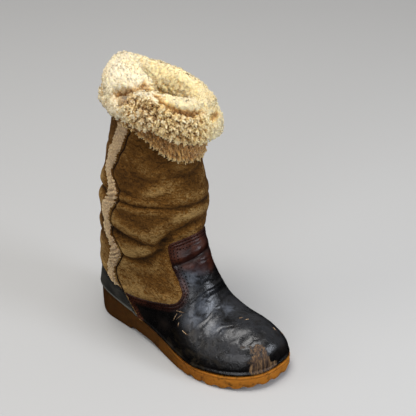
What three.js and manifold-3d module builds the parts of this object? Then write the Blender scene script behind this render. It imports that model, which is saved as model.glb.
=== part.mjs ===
// Fur-lined winter boot for the right foot, in millimetres: +X to the toe, +Y to the inner side, +Z up.
import * as THREE from "three";
import { mergeVertices } from "three/addons/utils/BufferGeometryUtils.js";
import Module from "manifold-3d";

const wasm = await Module();
wasm.setup();

// Driving dimensions.
const soleLength = 280;
const ballWidth = 112;
const heelWidth = 75;
const heelHeight = 42; // the wedge at the back
const ballHeight = 18; // the sole under the ball
const instepHeight = 140; // where the shaft leaves the instep
const collarHeight = 313; // middle of the slanted collar
const wall = 9; // hide with its pressed pile
const upperInset = 3; // the sole's ledge round the upper
const leather = 2; // vamp and counter, laid over the hide
const gap = 0.3; // between pieces that meet

const toeX = soleLength / 2;
const heelX = -soleLength / 2;

// ---- Reading tables ----------------------------------------------------------------------------------

// A smooth curve through the rows of a table, read where its key column is at.
function readTable(rows, key, column, at) {
  const last = rows.length - 1;
  if (at <= rows[0][key]) return rows[0][column];
  if (at >= rows[last][key]) return rows[last][column];
  let i = 0;
  while (rows[i + 1][key] < at) i++;
  const slope = (k) => {
    const before = rows[Math.max(k - 1, 0)];
    const after = rows[Math.min(k + 1, last)];
    return (after[column] - before[column]) / (after[key] - before[key]);
  };
  const span = rows[i + 1][key] - rows[i][key];
  const t = (at - rows[i][key]) / span;
  const start = (1 + 2 * t) * (1 - t) ** 2 * rows[i][column] + t * (1 - t) ** 2 * span * slope(i);
  const end = t * t * (3 - 2 * t) * rows[i + 1][column] + t * t * (t - 1) * span * slope(i + 1);
  return start + end;
}

// ---- The sole's outline and profile ------------------------------------------------------------------

// Half-widths of the outline to the outer (lat) and inner (med) side, before its ends are rounded.
const planRows = [
  { x: heelX, lat: heelWidth / 2, med: heelWidth / 2 },
  { x: -95, lat: heelWidth / 2, med: heelWidth / 2 },
  { x: -45, lat: 40, med: 35 },
  { x: 0, lat: 46, med: 42 },
  { x: 40, lat: 54, med: 53 },
  { x: 65, lat: ballWidth / 2, med: ballWidth / 2 },
  { x: toeX, lat: ballWidth / 2, med: ballWidth / 2 },
];
const heelRound = { start: -98, power: 2.0 };
const toeRound = { start: 41, power: 2.6, lean: 10 };

const soleTopRows = [
  { x: heelX, z: heelHeight },
  { x: -80, z: 34 },
  { x: -20, z: 26 },
  { x: 40, z: ballHeight },
  { x: 90, z: ballHeight },
  { x: toeX, z: ballHeight + 4 },
];
const soleTop = (x) => readTable(soleTopRows, "x", "z", x);

// The tread stands on a heel flat and a forefoot flat, with a raised waist between and toe spring ahead.
const soleBottomRows = [
  { x: heelX, z: 10 },
  { x: -134, z: 3.5 },
  { x: -126, z: 0 },
  { x: -64, z: 0 },
  { x: -60, z: 4 },
  { x: -20, z: 4 },
  { x: 8, z: 0 },
  { x: 92, z: 0 },
  { x: 118, z: 2.5 },
  { x: toeX, z: 7 },
];
function soleBottom(x) {
  const i = Math.max(1, soleBottomRows.findIndex((row) => row.x >= x));
  const [a, b] = [soleBottomRows[i - 1], soleBottomRows[i]];
  return a.z + ((b.z - a.z) * (x - a.x)) / (b.x - a.x);
}

// How much of its width the outline keeps where the heel and the toe round off.
function endRound(x) {
  const heel = Math.max(0, (heelRound.start - x) / (heelRound.start - heelX));
  const toe = Math.max(0, (x - toeRound.start) / (toeX - toeRound.start));
  const round = (share, power) => Math.max(0, 1 - Math.min(1, share) ** power) ** (1 / power);
  return round(heel, heelRound.power) * round(toe, toeRound.power);
}

// How far the toe leans to the inner side.
const toeLean = (x) => toeRound.lean * Math.max(0, (x - toeRound.start) / (toeX - toeRound.start)) ** 2;

function planEdge(x, side) {
  const half = readTable(planRows, "x", side, x) * endRound(x);
  return (side === "lat" ? -half : half) + toeLean(x);
}

const outlineSteps = 34;
const fromHeelToToe = (share) => -Math.cos(Math.PI * share) * toeX; // with more points at the ends
const outlineXs = Array.from({ length: outlineSteps + 1 }, (_, i) => fromHeelToToe(i / outlineSteps));

// The closed outline from the heel by the outer side to the toe and back by the inner side.
function soleOutline() {
  const inner = outlineXs.slice(1, -1).reverse();
  return [...outlineXs.map((x) => [x, planEdge(x, "lat")]), ...inner.map((x) => [x, planEdge(x, "med")])];
}

// ---- The upper's outside -----------------------------------------------------------------------------

// Each section lies in a plane across the boot, from the front (fx, fz) to the back (bx, bz). lat and med are
// its half-widths, widest is where along the plane they are met, front and back are the powers of the round on
// either side of it, and shift moves the section to the inner side.
const sectionRows = [
  { fx: 64, fz: 66, bx: 62, bz: -14, lat: 53, med: 53, widest: 0.54, front: 1.9, back: 2.6, shift: 0 },
  { fx: 50, fz: 79, bx: 27, bz: -12, lat: 50, med: 48, widest: 0.58, front: 1.95, back: 2.6, shift: 0 },
  { fx: 41, fz: 101, bx: -12, bz: -10, lat: 45, med: 41, widest: 0.62, front: 2.0, back: 2.6, shift: 0 },
  { fx: 34, fz: 122, bx: -50, bz: -6, lat: 42, med: 38, widest: 0.6, front: 2.0, back: 2.6, shift: 0 },
  { fx: 26, fz: instepHeight, bx: -93, bz: -2, lat: 43, med: 41, widest: 0.56, front: 2.0, back: 2.5, shift: 0 },
  { fx: 20, fz: 157, bx: -137, bz: 22, lat: 46, med: 45, widest: 0.52, front: 2.0, back: 2.3, shift: 0 },
  { fx: 18, fz: 174, bx: -131, bz: 66, lat: 51, med: 50, widest: 0.5, front: 2.0, back: 2.1, shift: 0 },
  { fx: 19, fz: 190, bx: -124, bz: 110, lat: 55, med: 54, widest: 0.5, front: 2.0, back: 2.0, shift: 0 },
  { fx: 19, fz: 208, bx: -120, bz: 152, lat: 55.5, med: 55.5, widest: 0.5, front: 2.0, back: 2.0, shift: 0 },
  { fx: 14, fz: 228, bx: -115, bz: 192, lat: 52, med: 52, widest: 0.5, front: 2.0, back: 2.0, shift: 0 },
  { fx: 12, fz: 252, bx: -108, bz: 228, lat: 48, med: 48, widest: 0.5, front: 2.0, back: 2.0, shift: 1 },
  { fx: 13, fz: 276, bx: -100, bz: 266, lat: 46, med: 46, widest: 0.5, front: 2.0, back: 2.0, shift: 3 },
  { fx: 14, fz: 305, bx: -94, bz: 305, lat: 45, med: 45, widest: 0.5, front: 2.0, back: 2.0, shift: 6 },
  { fx: 15, fz: 350, bx: -92, bz: 350, lat: 45, med: 45, widest: 0.5, front: 2.0, back: 2.0, shift: 8 },
];
const toeTip = { x: toeX - upperInset, z: 32, ridge: 60, power: 2.8 };
const toeSections = 6;

// Sections ahead of the ball: the sole's outline, less its ledge, under a ridge that comes down to the tip.
function toeRows() {
  const root = sectionRows[0];
  return Array.from({ length: toeSections }, (_, i) => {
    const angle = (Math.PI / 2) * (1 - (i + 0.08) / toeSections);
    const along = Math.sin(angle) ** (2 / toeRound.power);
    const x = root.fx + (toeTip.x - root.fx) * along;
    const high = (1 - along ** toeTip.power) ** (1 / toeTip.power);
    const ridge = root.fz + (toeTip.ridge - root.fz) * along;
    const soleX = (x * toeX) / toeTip.x;
    const half = endRound(soleX) * (ballWidth / 2 - upperInset);
    return {
      ...root,
      fx: x,
      fz: toeTip.z + (ridge - toeTip.z) * high,
      bx: x,
      bz: toeTip.z + (root.bz - toeTip.z) * high,
      lat: half,
      med: half,
      shift: toeLean(soleX),
    };
  });
}
const allRows = [...toeRows(), ...sectionRows].map((row, at) => ({ ...row, at }));
const topRow = allRows.length - 1;

// A point of the outside: at runs along the sections from the toe to the top, and turn goes once round a
// section, from the front line by the outer side.
function sectionPoint(at, turn) {
  const read = (column) => readTable(allRows, "at", column, at);
  const angle = 2 * Math.PI * (turn - Math.floor(turn));
  const outer = angle < Math.PI;
  const half = outer ? angle : 2 * Math.PI - angle;
  const ahead = half < Math.PI / 2;
  const power = read(ahead ? "front" : "back");
  const along = Math.abs(Math.cos(half)) ** (2 / power);
  const wide = Math.abs(Math.sin(half)) ** (2 / power);
  const widest = read("widest");
  const t = ahead ? widest * (1 - along) : widest + (1 - widest) * along;
  const y = wide * (outer ? -read("lat") : read("med")) + read("shift");
  const x = read("fx") + (read("bx") - read("fx")) * t;
  const z = read("fz") + (read("bz") - read("fz")) * t;
  return new THREE.Vector3(x, y, z);
}

// The same point moved out along the surface's normal.
function formPoint(at, turn, grow) {
  const step = 1e-3;
  const ahead = sectionPoint(Math.min(at + step, topRow), turn);
  const along = ahead.sub(sectionPoint(Math.max(at - step, 0), turn));
  const round = sectionPoint(at, turn + step).sub(sectionPoint(at, turn - step));
  return sectionPoint(at, turn).addScaledVector(along.cross(round).normalize(), grow);
}

// The outside at a height of the shaft.
function shaftPoint(z, turn, grow) {
  let low = allRows.length - 7;
  let high = topRow;
  for (let i = 0; i < 24; i++) {
    const middle = (low + high) / 2;
    if (sectionPoint(middle, turn).z < z) low = middle;
    else high = middle;
  }
  return formPoint((low + high) / 2, turn, grow);
}

// ---- Solids ------------------------------------------------------------------------------------------

function solidOf(positions, triangles) {
  const vertProperties = new Float32Array(positions);
  const triVerts = new Uint32Array(triangles);
  return new wasm.Manifold(new wasm.Mesh({ numProp: 3, vertProperties, triVerts }));
}

function solidFrom(geometry) {
  geometry.deleteAttribute("normal");
  geometry.deleteAttribute("uv");
  const merged = mergeVertices(geometry, 1e-4);
  return solidOf(merged.attributes.position.array, merged.index.array);
}

// A closed outline swept square to its plane: "z" takes [x, y] upwards, "y" takes [x, z] across the boot.
function prism(points, axis, from, to) {
  const shape = new THREE.Shape(points.map(([u, v]) => new THREE.Vector2(u, v)));
  const geometry = new THREE.ExtrudeGeometry(shape, { depth: to - from, bevelEnabled: false });
  if (axis === "z") geometry.translate(0, 0, from);
  else geometry.translate(0, 0, -to).rotateX(Math.PI / 2);
  return solidFrom(geometry);
}

function box(centre, size, turn = 0) {
  const geometry = new THREE.BoxGeometry(...size).rotateZ(turn).translate(...centre);
  return solidFrom(geometry);
}

// Rings of points, each with as many points, skinned into one solid: closed at both ends, or round on itself.
function skin(rings, round) {
  const count = rings[0].length;
  const positions = rings.flat().flatMap((p) => p.toArray());
  const triangles = [];
  const id = (i, j) => (i % rings.length) * count + (j % count);
  for (let i = 0; i < rings.length - (round ? 0 : 1); i++)
    for (let j = 0; j < count; j++) {
      triangles.push(id(i, j), id(i + 1, j), id(i, j + 1));
      triangles.push(id(i + 1, j), id(i + 1, j + 1), id(i, j + 1));
    }
  if (!round)
    for (const [i, first] of [[0, true], [rings.length - 1, false]]) {
      const centre = new THREE.Vector3();
      rings[i].forEach((p) => centre.addScaledVector(p, 1 / count));
      const c = positions.length / 3;
      positions.push(...centre.toArray());
      for (let j = 0; j < count; j++) triangles.push(c, id(i, first ? j : j + 1), id(i, first ? j + 1 : j));
    }
  return solidOf(positions, triangles);
}

const around = 32;
const stationsPerRow = 2;
const forms = new Map();

// The whole boot's closed form, grown by so many millimetres. The form inside the wall starts a section
// further back, where the toe is wide enough for it.
function bootForm(grow) {
  if (!forms.has(grow)) {
    const rings = [];
    for (let i = grow < 0 ? stationsPerRow : 0; i <= topRow * stationsPerRow; i++)
      rings.push(Array.from({ length: around }, (_, j) => formPoint(i / stationsPerRow, j / around, grow)));
    forms.set(grow, skin(rings, false));
  }
  return forms.get(grow);
}

const reach = 90; // past the boot's side
const shell = (inner, outer) => bootForm(outer).subtract(bootForm(inner));

// ---- Outsole -----------------------------------------------------------------------------------------

const cleat = { pitch: 17, groove: 4, depth: 2.5, into: 9, from: 40 };
const treadBar = { groove: 5, depth: 3, margin: 15 };
const treadBars = [-118, -103, -88, 22, 37, 52, 67, 82, 97];

// Grooves between the cleats that ring the forefoot's lower edge.
function cleatGrooves() {
  const points = soleOutline().map(([x, y]) => new THREE.Vector3(x, y, 0));
  const edge = new THREE.CatmullRomCurve3(points, true);
  const count = Math.round(edge.getLength() / cleat.pitch);
  const grooves = [];
  for (let i = 0; i < count; i++) {
    const { x, y } = edge.getPointAt(i / count);
    const along = edge.getTangentAt(i / count);
    const size = [cleat.groove, 2 * cleat.into, 10];
    const centre = [x, y, soleBottom(x) + cleat.depth - size[2] / 2];
    if (x > cleat.from) grooves.push(box(centre, size, Math.atan2(along.y, along.x)));
  }
  return grooves;
}

function treadGrooves() {
  return treadBars.map((x) => {
    const from = planEdge(x, "lat") + treadBar.margin;
    const to = planEdge(x, "med") - treadBar.margin;
    const size = [treadBar.groove, to - from, 10];
    return box([x, (from + to) / 2, treadBar.depth - size[2] / 2], size);
  });
}

// The sole's top seen from the side, so much higher, from past the heel to past the toe.
function topProfile(height) {
  const ends = [heelX, toeX].map((x) => [1.1 * x, soleTop(x) + height]);
  return [ends[0], ...outlineXs.map((x) => [x, soleTop(x) + height]), ends[1]];
}

function outsole() {
  const ends = [heelX, toeX].map((x) => [1.1 * x, soleBottom(x)]);
  const side = [ends[0], ...soleBottomRows.map((row) => [row.x, row.z]), ends[1], ...topProfile(0).reverse()];
  const block = prism(soleOutline(), "z", -5, 70).intersect(prism(side, "y", -reach, reach));
  return [...cleatGrooves(), ...treadGrooves()].reduce((solid, groove) => solid.subtract(groove), block);
}

// What lies at least so far above the sole's top.
function aboveSole(height) {
  return prism([...topProfile(height), [1.1 * toeX, 500], [1.1 * heelX, 500]], "y", -reach, reach);
}

// ---- Insole ------------------------------------------------------------------------------------------

const insoleThickness = 5;
function insole() {
  const slab = aboveSole(gap).subtract(aboveSole(gap + insoleThickness));
  return bootForm(-wall - gap).intersect(slab);
}

// ---- Upper -------------------------------------------------------------------------------------------

// The collar is cut by a slanted plane, highest at the outer back.
const collar = { x: -39, y: 7, z: collarHeight, slope: 0.4, highest: 0.4 };

function belowCollar(height) {
  const angle = 2 * Math.PI * collar.highest;
  const uphill = new THREE.Vector3(Math.cos(angle), -Math.sin(angle), 0);
  const normal = new THREE.Vector3(0, 0, 1).addScaledVector(uphill, -collar.slope).normalize();
  const turned = new THREE.Quaternion().setFromUnitVectors(new THREE.Vector3(0, 0, 1), normal);
  const geometry = new THREE.BoxGeometry(600, 600, 600).translate(0, 0, -300).applyQuaternion(turned);
  return solidFrom(geometry.translate(collar.x, collar.y, collar.z + height));
}

function upper() {
  return shell(-wall, 0).intersect(aboveSole(gap)).intersect(belowCollar(0));
}

// ---- Vamp and heel counter ---------------------------------------------------------------------------

// Each overlay is a sheet of leather over the hide, inside an outline seen from the side.
function overlay(outline) {
  return shell(gap, gap + leather).intersect(aboveSole(gap)).intersect(prism(outline, "y", -reach, reach));
}

// The seam where they meet runs down and forward to the sole, here as [x, z].
const seam = [[-62, 61], [-36, 20], [-36, -10]];

function vamp() {
  const quarterEdge = [[-45, 62], [-20, 66], [11, 74], [20, 78], [25, 85]];
  const tabEdge = [[24, 93], [17, 105], [8, 119], [2, 140], [3, 147], [9, 152], [22, 160]];
  return overlay([...seam.toReversed(), ...quarterEdge, ...tabEdge, [150, 223], [150, -10]]);
}

function heelCounter() {
  const front = seam.map(([x, z]) => [x - 2 * gap, z]);
  const topEdge = [[-72, 66], [-84, 72], [-96, 79], [-112, 85]];
  return overlay([...front.reverse(), ...topEdge, [-150, 88], [-150, -10]]);
}

// ---- Fleece strip in the outer side seam -------------------------------------------------------------

const stripHeight = 5; // how far the pile stands out
const stripRows = [
  { z: 67, seam: -65, width: 8 },
  { z: 78, seam: -67, width: 17 },
  { z: 92, seam: -69, width: 20 },
  { z: 106, seam: -62, width: 20 },
  { z: 126, seam: -52, width: 20 },
  { z: 148, seam: -64, width: 22 },
  { z: 178, seam: -61, width: 22 },
  { z: 206, seam: -50, width: 19 },
  { z: 226, seam: -62, width: 19 },
  { z: 252, seam: -51, width: 19 },
  { z: 289, seam: -38, width: 16 },
];

function sideStrip() {
  const from = stripRows[0].z;
  const to = stripRows.at(-1).z;
  const heights = Array.from({ length: 23 }, (_, i) => from + ((to - from) * i) / 22);
  const seam = heights.map((z) => [readTable(stripRows, "z", "seam", z), z]);
  const back = heights.map((z, i) => [seam[i][0] - readTable(stripRows, "z", "width", z), z]);
  return shell(gap, gap + stripHeight).intersect(prism([...seam, ...back.reverse()], "y", -reach, 0));
}

// ---- Cuff --------------------------------------------------------------------------------------------

const pile = 18; // the cuff's fleece
const cuff = {
  top: { middle: 331, swing: 21, highest: 0.4 },
  bottom: { middle: 276, swing: 18, highest: 0.33 },
  droop: { out: 12, lowest: 0.875 }, // where it hangs away from the shaft
  tier: { down: 17, out: 9, middle: 0.02, width: 0.2 }, // the edge that shows below the fold
};
const waveAt = (turn, wave) => wave.middle + wave.swing * Math.cos(2 * Math.PI * (turn - wave.highest));

// The cuff's section at one turn: down the outside, in over the collar, and a little way down inside.
function cuffRing(turn) {
  const top = waveAt(turn, cuff.top);
  const bottom = waveAt(turn, cuff.bottom);
  const flare = cuff.droop.out * (0.5 + 0.5 * Math.cos(2 * Math.PI * (turn - cuff.droop.lowest)));
  const away = Math.abs(((turn - cuff.tier.middle + 1.5) % 1) - 0.5);
  const tier = cuff.tier.down * Math.max(0.05, Math.cos((Math.PI / 2) * Math.min(1, away / cuff.tier.width)));
  const inside = -wall - 5;
  const section = [
    { out: -3, z: bottom - tier },
    { out: cuff.tier.out - 2, z: bottom - tier },
    { out: cuff.tier.out, z: bottom - tier + 2 },
    { out: cuff.tier.out, z: bottom },
    { out: pile + flare - 5, z: bottom },
    { out: pile + flare, z: bottom + 6 },
    { out: pile + 0.6 * flare, z: (top + bottom) / 2 },
    { out: pile - 2, z: top - 12 },
    { out: 0.5 * pile, z: top - 3 },
    { out: -1, z: top },
    { out: -wall, z: top - 3 },
    { out: inside, z: top - 12 },
    { out: inside, z: top - 30 },
    { out: -wall + 3, z: top - 34 },
  ];
  return section.map(({ out, z }) => shaftPoint(z, turn, out));
}

function cuffSolid() {
  const ring = skin(Array.from({ length: around }, (_, j) => cuffRing(-j / around)), true);
  return ring.subtract(shell(-wall - gap, gap).intersect(belowCollar(gap)));
}

// ---- The boot ----------------------------------------------------------------------------------------

const materials = {
  gumRubber: new THREE.MeshStandardMaterial({ color: 0x9a5f22, roughness: 0.55 }),
  suede: new THREE.MeshStandardMaterial({ color: 0x7a5a30, roughness: 0.95 }),
  blackLeather: new THREE.MeshStandardMaterial({ color: 0x1d1a1b, roughness: 0.38 }),
  greyLeather: new THREE.MeshStandardMaterial({ color: 0x2c3032, roughness: 0.5 }),
  fleece: new THREE.MeshStandardMaterial({ color: 0xdcc596, roughness: 1 }),
  felt: new THREE.MeshStandardMaterial({ color: 0xcbb88e, roughness: 1 }),
};

function meshOf(name, solid, material) {
  const { vertProperties, triVerts, numProp, numVert } = solid.getMesh();
  const positions = new Float32Array(numVert * 3);
  for (let i = 0; i < numVert; i++) {
    const from = i * numProp;
    positions.set(vertProperties.subarray(from, from + 3), i * 3);
  }
  const geometry = new THREE.BufferGeometry();
  geometry.setAttribute("position", new THREE.BufferAttribute(positions, 3));
  geometry.setIndex(new THREE.BufferAttribute(triVerts, 1));
  const mesh = new THREE.Mesh(geometry, material);
  mesh.name = name;
  return mesh;
}

const pieces = [
  meshOf("outsole", outsole(), materials.gumRubber),
  meshOf("insole", insole(), materials.felt),
  meshOf("upper", upper(), materials.suede),
  meshOf("vamp", vamp(), materials.blackLeather),
  meshOf("heel_counter", heelCounter(), materials.greyLeather),
  meshOf("side_strip", sideStrip(), materials.fleece),
  meshOf("cuff", cuffSolid(), materials.fleece),
];

// The frame's origin is on the floor, under the middle of the boot's box.
const boot = new THREE.Group();
boot.add(...pieces);
const bounds = new THREE.Box3().setFromObject(boot, true);
boot.position.set(-(bounds.min.x + bounds.max.x) / 2, -(bounds.min.y + bounds.max.y) / 2, -bounds.min.z);
export default boot;
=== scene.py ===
"""A right winter boot: gum wedge sole, suede shaft with its fleece inside, black leather vamp and
counter, a fleece strip let into the outer side seam, and a fleece cuff turned down over the top."""

import itertools
import math

import bpy
import numpy as np
from mathutils import Matrix, Vector, kdtree


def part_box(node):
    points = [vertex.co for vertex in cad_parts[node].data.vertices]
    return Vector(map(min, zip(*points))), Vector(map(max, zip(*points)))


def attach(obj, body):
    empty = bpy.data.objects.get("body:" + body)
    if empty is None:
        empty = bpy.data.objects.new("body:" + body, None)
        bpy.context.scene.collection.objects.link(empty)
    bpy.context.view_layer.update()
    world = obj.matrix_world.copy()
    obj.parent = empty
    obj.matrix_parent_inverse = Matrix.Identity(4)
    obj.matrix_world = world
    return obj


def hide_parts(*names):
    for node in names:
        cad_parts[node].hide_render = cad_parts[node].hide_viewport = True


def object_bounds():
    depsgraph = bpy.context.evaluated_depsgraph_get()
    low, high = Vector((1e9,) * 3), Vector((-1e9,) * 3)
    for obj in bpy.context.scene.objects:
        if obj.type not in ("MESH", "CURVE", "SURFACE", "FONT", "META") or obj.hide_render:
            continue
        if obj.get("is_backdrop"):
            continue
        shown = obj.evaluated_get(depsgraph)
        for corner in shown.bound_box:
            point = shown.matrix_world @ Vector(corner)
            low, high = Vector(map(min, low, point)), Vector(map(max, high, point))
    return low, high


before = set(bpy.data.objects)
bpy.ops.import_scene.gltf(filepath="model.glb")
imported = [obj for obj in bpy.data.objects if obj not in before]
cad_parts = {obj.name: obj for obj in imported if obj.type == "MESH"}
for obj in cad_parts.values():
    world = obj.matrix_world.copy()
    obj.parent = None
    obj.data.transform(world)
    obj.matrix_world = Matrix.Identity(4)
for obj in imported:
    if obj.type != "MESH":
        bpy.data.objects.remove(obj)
cad_low, cad_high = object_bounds()


# ---- Floor, light and camera ----
# A sheet of matt pale grey board under the boot, lit by a large softbox overhead, a wide one in front
# and two weaker ones at the sides. Polished leather doesn't mirror the board, as when black card lies
# beside it. The lens is a long one, so the boot is seen with little perspective.


def linear(colour):
    """The linear colour of an sRGB hex value."""
    parts = [int(colour[i : i + 2], 16) / 255 for i in (1, 3, 5)]
    return (*[c / 12.92 if c <= 0.04045 else ((c + 0.055) / 1.055) ** 2.4 for c in parts], 1.0)


def new_material(name):
    material = bpy.data.materials.new(name)
    material.use_nodes = True
    material.node_tree.nodes.clear()
    return material


def add(material, kind, *values, out=None, **settings):
    """A node of that kind, given back as its output of that name, or else as the first one in use.
    values go to its sockets in turn. A setting that starts with a capital goes to the socket of that
    name, with _ for a space, and any other is the node's own. An output given for a socket is linked."""
    tree = material.node_tree
    node = tree.nodes.new("ShaderNode" + kind)
    for name in [key for key in settings if key[0].islower()]:
        value = settings.pop(name)
        if name == "stops":
            ramp = node.color_ramp
            while len(ramp.elements) < len(value):
                ramp.elements.new(0.5)
            for element, (at, colour) in zip(ramp.elements, value):
                element.position = at
                element.color = linear(colour) if isinstance(colour, str) else (colour,) * 3 + (1.0,)
        else:
            setattr(node, name, value)
    fed = list(zip((socket for socket in node.inputs if socket.enabled), values))
    fed += [(node.inputs[name.replace("_", " ")], value) for name, value in settings.items()]
    for socket, value in fed:
        if isinstance(value, bpy.types.NodeSocket):
            tree.links.new(value, socket)
        else:
            socket.default_value = value
    return node.outputs[out] if out else next((socket for socket in node.outputs if socket.enabled), None)


board = new_material("Grey card, matt")
shader = add(board, "BsdfPrincipled", Base_Color=linear("#acacab"), Roughness=0.95)
add(board, "OutputMaterial", Surface=shader)

scene = bpy.context.scene
floor_half = 20.0
floor_mesh = bpy.data.meshes.new("floor")
floor_corners = [(x * floor_half, y * floor_half, 0) for x, y in ((-1, -1), (1, -1), (1, 1), (-1, 1))]
floor_mesh.from_pydata(floor_corners, [], [(0, 1, 2, 3)])
floor_mesh.materials.append(board)
floor = bpy.data.objects.new("floor", floor_mesh)
floor.visible_glossy = False
scene.collection.objects.link(floor)
floor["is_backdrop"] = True

scene.view_settings.view_transform = "Standard"
world = bpy.data.worlds.new("studio")
world.use_nodes = True
upward = add(world, "SeparateXYZ", Vector=add(world, "TexCoord", out="Generated"), out="Z")
height = add(world, "MapRange", Value=upward, From_Min=-0.25, From_Max=0.45)
glow = add(world, "ValToRGB", Fac=height, stops=[
    (0.1, 0.0), (0.33, 0.11), (0.42, 0.13), (0.75, 0.32), (1.0, 0.36)
])
around = world.node_tree.nodes["Background"].inputs
around["Color"].default_value = linear("#efeeee")
world.node_tree.links.new(glow, around["Strength"])
scene.world = world

# Each softbox: where it hangs, the point it faces, its width and length, its power in watts and its
# colour.
softboxes = {
    "overhead": ((0.1, -0.35, 3.0), (0.0, 0.0, 0.1), (1.6, 1.4), 80, "#fffdfb"),
    "front": ((1.05, -1.95, 1.0), (0.0, 0.0, 0.12), (1.3, 0.9), 18, "#f7f9ff"),
    "left": ((-1.1, -1.9, 1.5), (0.0, 0.0, 0.15), (1.2, 1.0), 12, "#fff8ee"),
    "right": ((1.5, 0.45, 0.8), (0.05, 0.0, 0.1), (0.5, 0.8), 17, "#eef4ff"),
}
for name, (place, target, size, power, colour) in softboxes.items():
    light = bpy.data.lights.new(name, "AREA")
    light.shape = "RECTANGLE"
    light.size, light.size_y = size
    light.energy = power
    light.color = linear(colour)[:3]
    lamp = bpy.data.objects.new(name, light)
    lamp.location = place
    lamp.visible_camera = False
    lamp.rotation_euler = (Vector(target) - Vector(place)).to_track_quat("-Z", "Y").to_euler()
    scene.collection.objects.link(lamp)

azimuth, elevation, roll = (math.radians(a) for a in (45.3, 30.0, -1.5))
camera_distance = 1.305
look_at = Vector((0.0010, 0.0310, 0.1669))
level = math.cos(elevation)
back = Vector((math.sin(azimuth) * level, -math.cos(azimuth) * level, math.sin(elevation)))
right = Vector((math.cos(azimuth), math.sin(azimuth), 0))
up = back.cross(right)
turned_right = right * math.cos(roll) + up * math.sin(roll)
turned_up = up * math.cos(roll) - right * math.sin(roll)
lens = bpy.data.cameras.new("camera")
lens.sensor_width = 36
lens.lens = 95.2
camera = bpy.data.objects.new("camera", lens)
camera.rotation_euler = Matrix((turned_right, turned_up, back)).transposed().to_euler()
camera.location = look_at + back * camera_distance
scene.collection.objects.link(camera)
scene.camera = camera


# ---- Outsole ----
# A moulded wedge unit of gum rubber with a raised waist, a little toe spring and cleats round the
# forefoot. It is cemented under the lasted upper, and leaves a 3 mm ledge round it. All lengths here
# are millimetres.

toe_x, heel_x = 140.0, -140.0


def through(keys, values, at):
    """A smooth curve through the values at the keys, read at each of at."""
    keys, values = np.asarray(keys, float), np.asarray(values, float)
    at = np.clip(at, keys[0], keys[-1])
    before = np.maximum(np.arange(len(keys)) - 1, 0)
    after = np.minimum(np.arange(len(keys)) + 1, len(keys) - 1)
    slope = (values[after] - values[before]) / (keys[after] - keys[before])
    i = np.clip(np.searchsorted(keys, at, side="left") - 1, 0, len(keys) - 2)
    span = keys[i + 1] - keys[i]
    t = (at - keys[i]) / span
    start = (1 + 2 * t) * (1 - t) ** 2 * values[i] + t * (1 - t) ** 2 * span * slope[i]
    return start + t * t * (3 - 2 * t) * values[i + 1] + t * t * (t - 1) * span * slope[i + 1]


plan_x = [-140, -95, -45, 0, 40, 65, 140]
outer_half = [37.5, 37.5, 40, 46, 54, 56, 56]
inner_half = [37.5, 37.5, 35, 42, 53, 56, 56]
sole_top_x, sole_top_z = [-140, -80, -20, 40, 90, 140], [42, 34, 26, 18, 18, 22]
tread_x = [-140, -134, -126, -64, -60, -20, 8, 92, 118, 140]
tread_z = [10, 3.5, 0, 0, 4, 4, 0, 0, 2.5, 7]
heel_round_x, heel_round_power = -98, 2.0
toe_round_x, toe_round_power, toe_lean = 41, 2.6, 10


def end_round(x):
    heel = np.clip((heel_round_x - x) / (heel_round_x - heel_x), 0, 1)
    toe = np.clip((x - toe_round_x) / (toe_x - toe_round_x), 0, 1)
    heel = (1 - heel**heel_round_power) ** (1 / heel_round_power)
    return heel * (1 - toe**toe_round_power) ** (1 / toe_round_power)


def lean(x):
    return toe_lean * np.maximum(0, (x - toe_round_x) / (toe_x - toe_round_x)) ** 2


def plan_edge(x, outer):
    half = through(plan_x, outer_half if outer else inner_half, x) * end_round(x)
    return np.where(outer, -half, half) + lean(x)


def sole_top(x):
    return through(sole_top_x, sole_top_z, x)


# The last's own frame is the boot's, but for where its middle line lies.
sole_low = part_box("outsole")[0]
shift_y = sole_low.y * 1000 - plan_edge(np.linspace(20, 120, 400), True).min()


def add_mesh(name, points, faces, material, **attributes):
    """A smooth object of points in mm in the last's frame, with numbers for each as its attributes."""
    points = (np.asarray(points, float) + (0, shift_y, 0)) / 1000
    mesh = bpy.data.meshes.new(name)
    mesh.from_pydata(points.tolist(), [], [list(map(int, face)) for face in faces])
    for key, values in attributes.items():
        layer = mesh.attributes.new(key, "FLOAT", "POINT")
        layer.data.foreach_set("value", np.asarray(values, np.float32))
    mesh.materials.append(material)
    mesh.polygons.foreach_set("use_smooth", [True] * len(mesh.polygons))
    mesh.update()
    made = bpy.data.objects.new(name, mesh)
    scene.collection.objects.link(made)
    return made


def grid_faces(rows, columns, round_columns=False, first=0):
    """Quads over points that run row by row. A row of round columns closes on itself."""
    i = first + np.arange(rows - 1)[:, None] * columns
    j = np.arange(columns if round_columns else columns - 1)[None, :]
    j2 = (j + 1) % columns
    corners = [i + j, i + j2, i + columns + j2, i + columns + j]
    return np.stack(corners, -1).reshape(-1, 4)


def unit(vectors):
    return vectors / np.maximum(np.linalg.norm(vectors, axis=-1, keepdims=True), 1e-9)


def lattice_noise(points, size, seed):
    """Smooth noise from -1 to 1 with lumps of that size in millimetres."""
    p = points / size + np.array([11.3, 5.7, 8.1]) * seed
    cell = np.floor(p).astype(np.int64)
    f = p - cell
    f = f * f * f * (f * (6 * f - 15) + 10)
    total = np.zeros(len(points))
    for corner in itertools.product((0, 1), repeat=3):
        h = cell + corner
        n = (h[:, 0] * 374761393 + h[:, 1] * 668265263 + h[:, 2] * 1274126177 + seed * 9176) & 0xFFFFFFFF
        n = ((n ^ (n >> 13)) * 1103515245 + 12345) & 0xFFFFFFFF
        n = ((n ^ (n >> 15)) * 668265263) & 0xFFFFFFFF
        weight = np.prod(np.where(corner, f, 1 - f), axis=1)
        total += weight * ((n >> 8 & 0xFFFF) / 32767.5 - 1)
    return total


def lumpy(points, *layers):
    """Layers of that noise on each other, each as (height, size, seed)."""
    return sum(height * lattice_noise(points, size, seed) for height, size, seed in layers)


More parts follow.
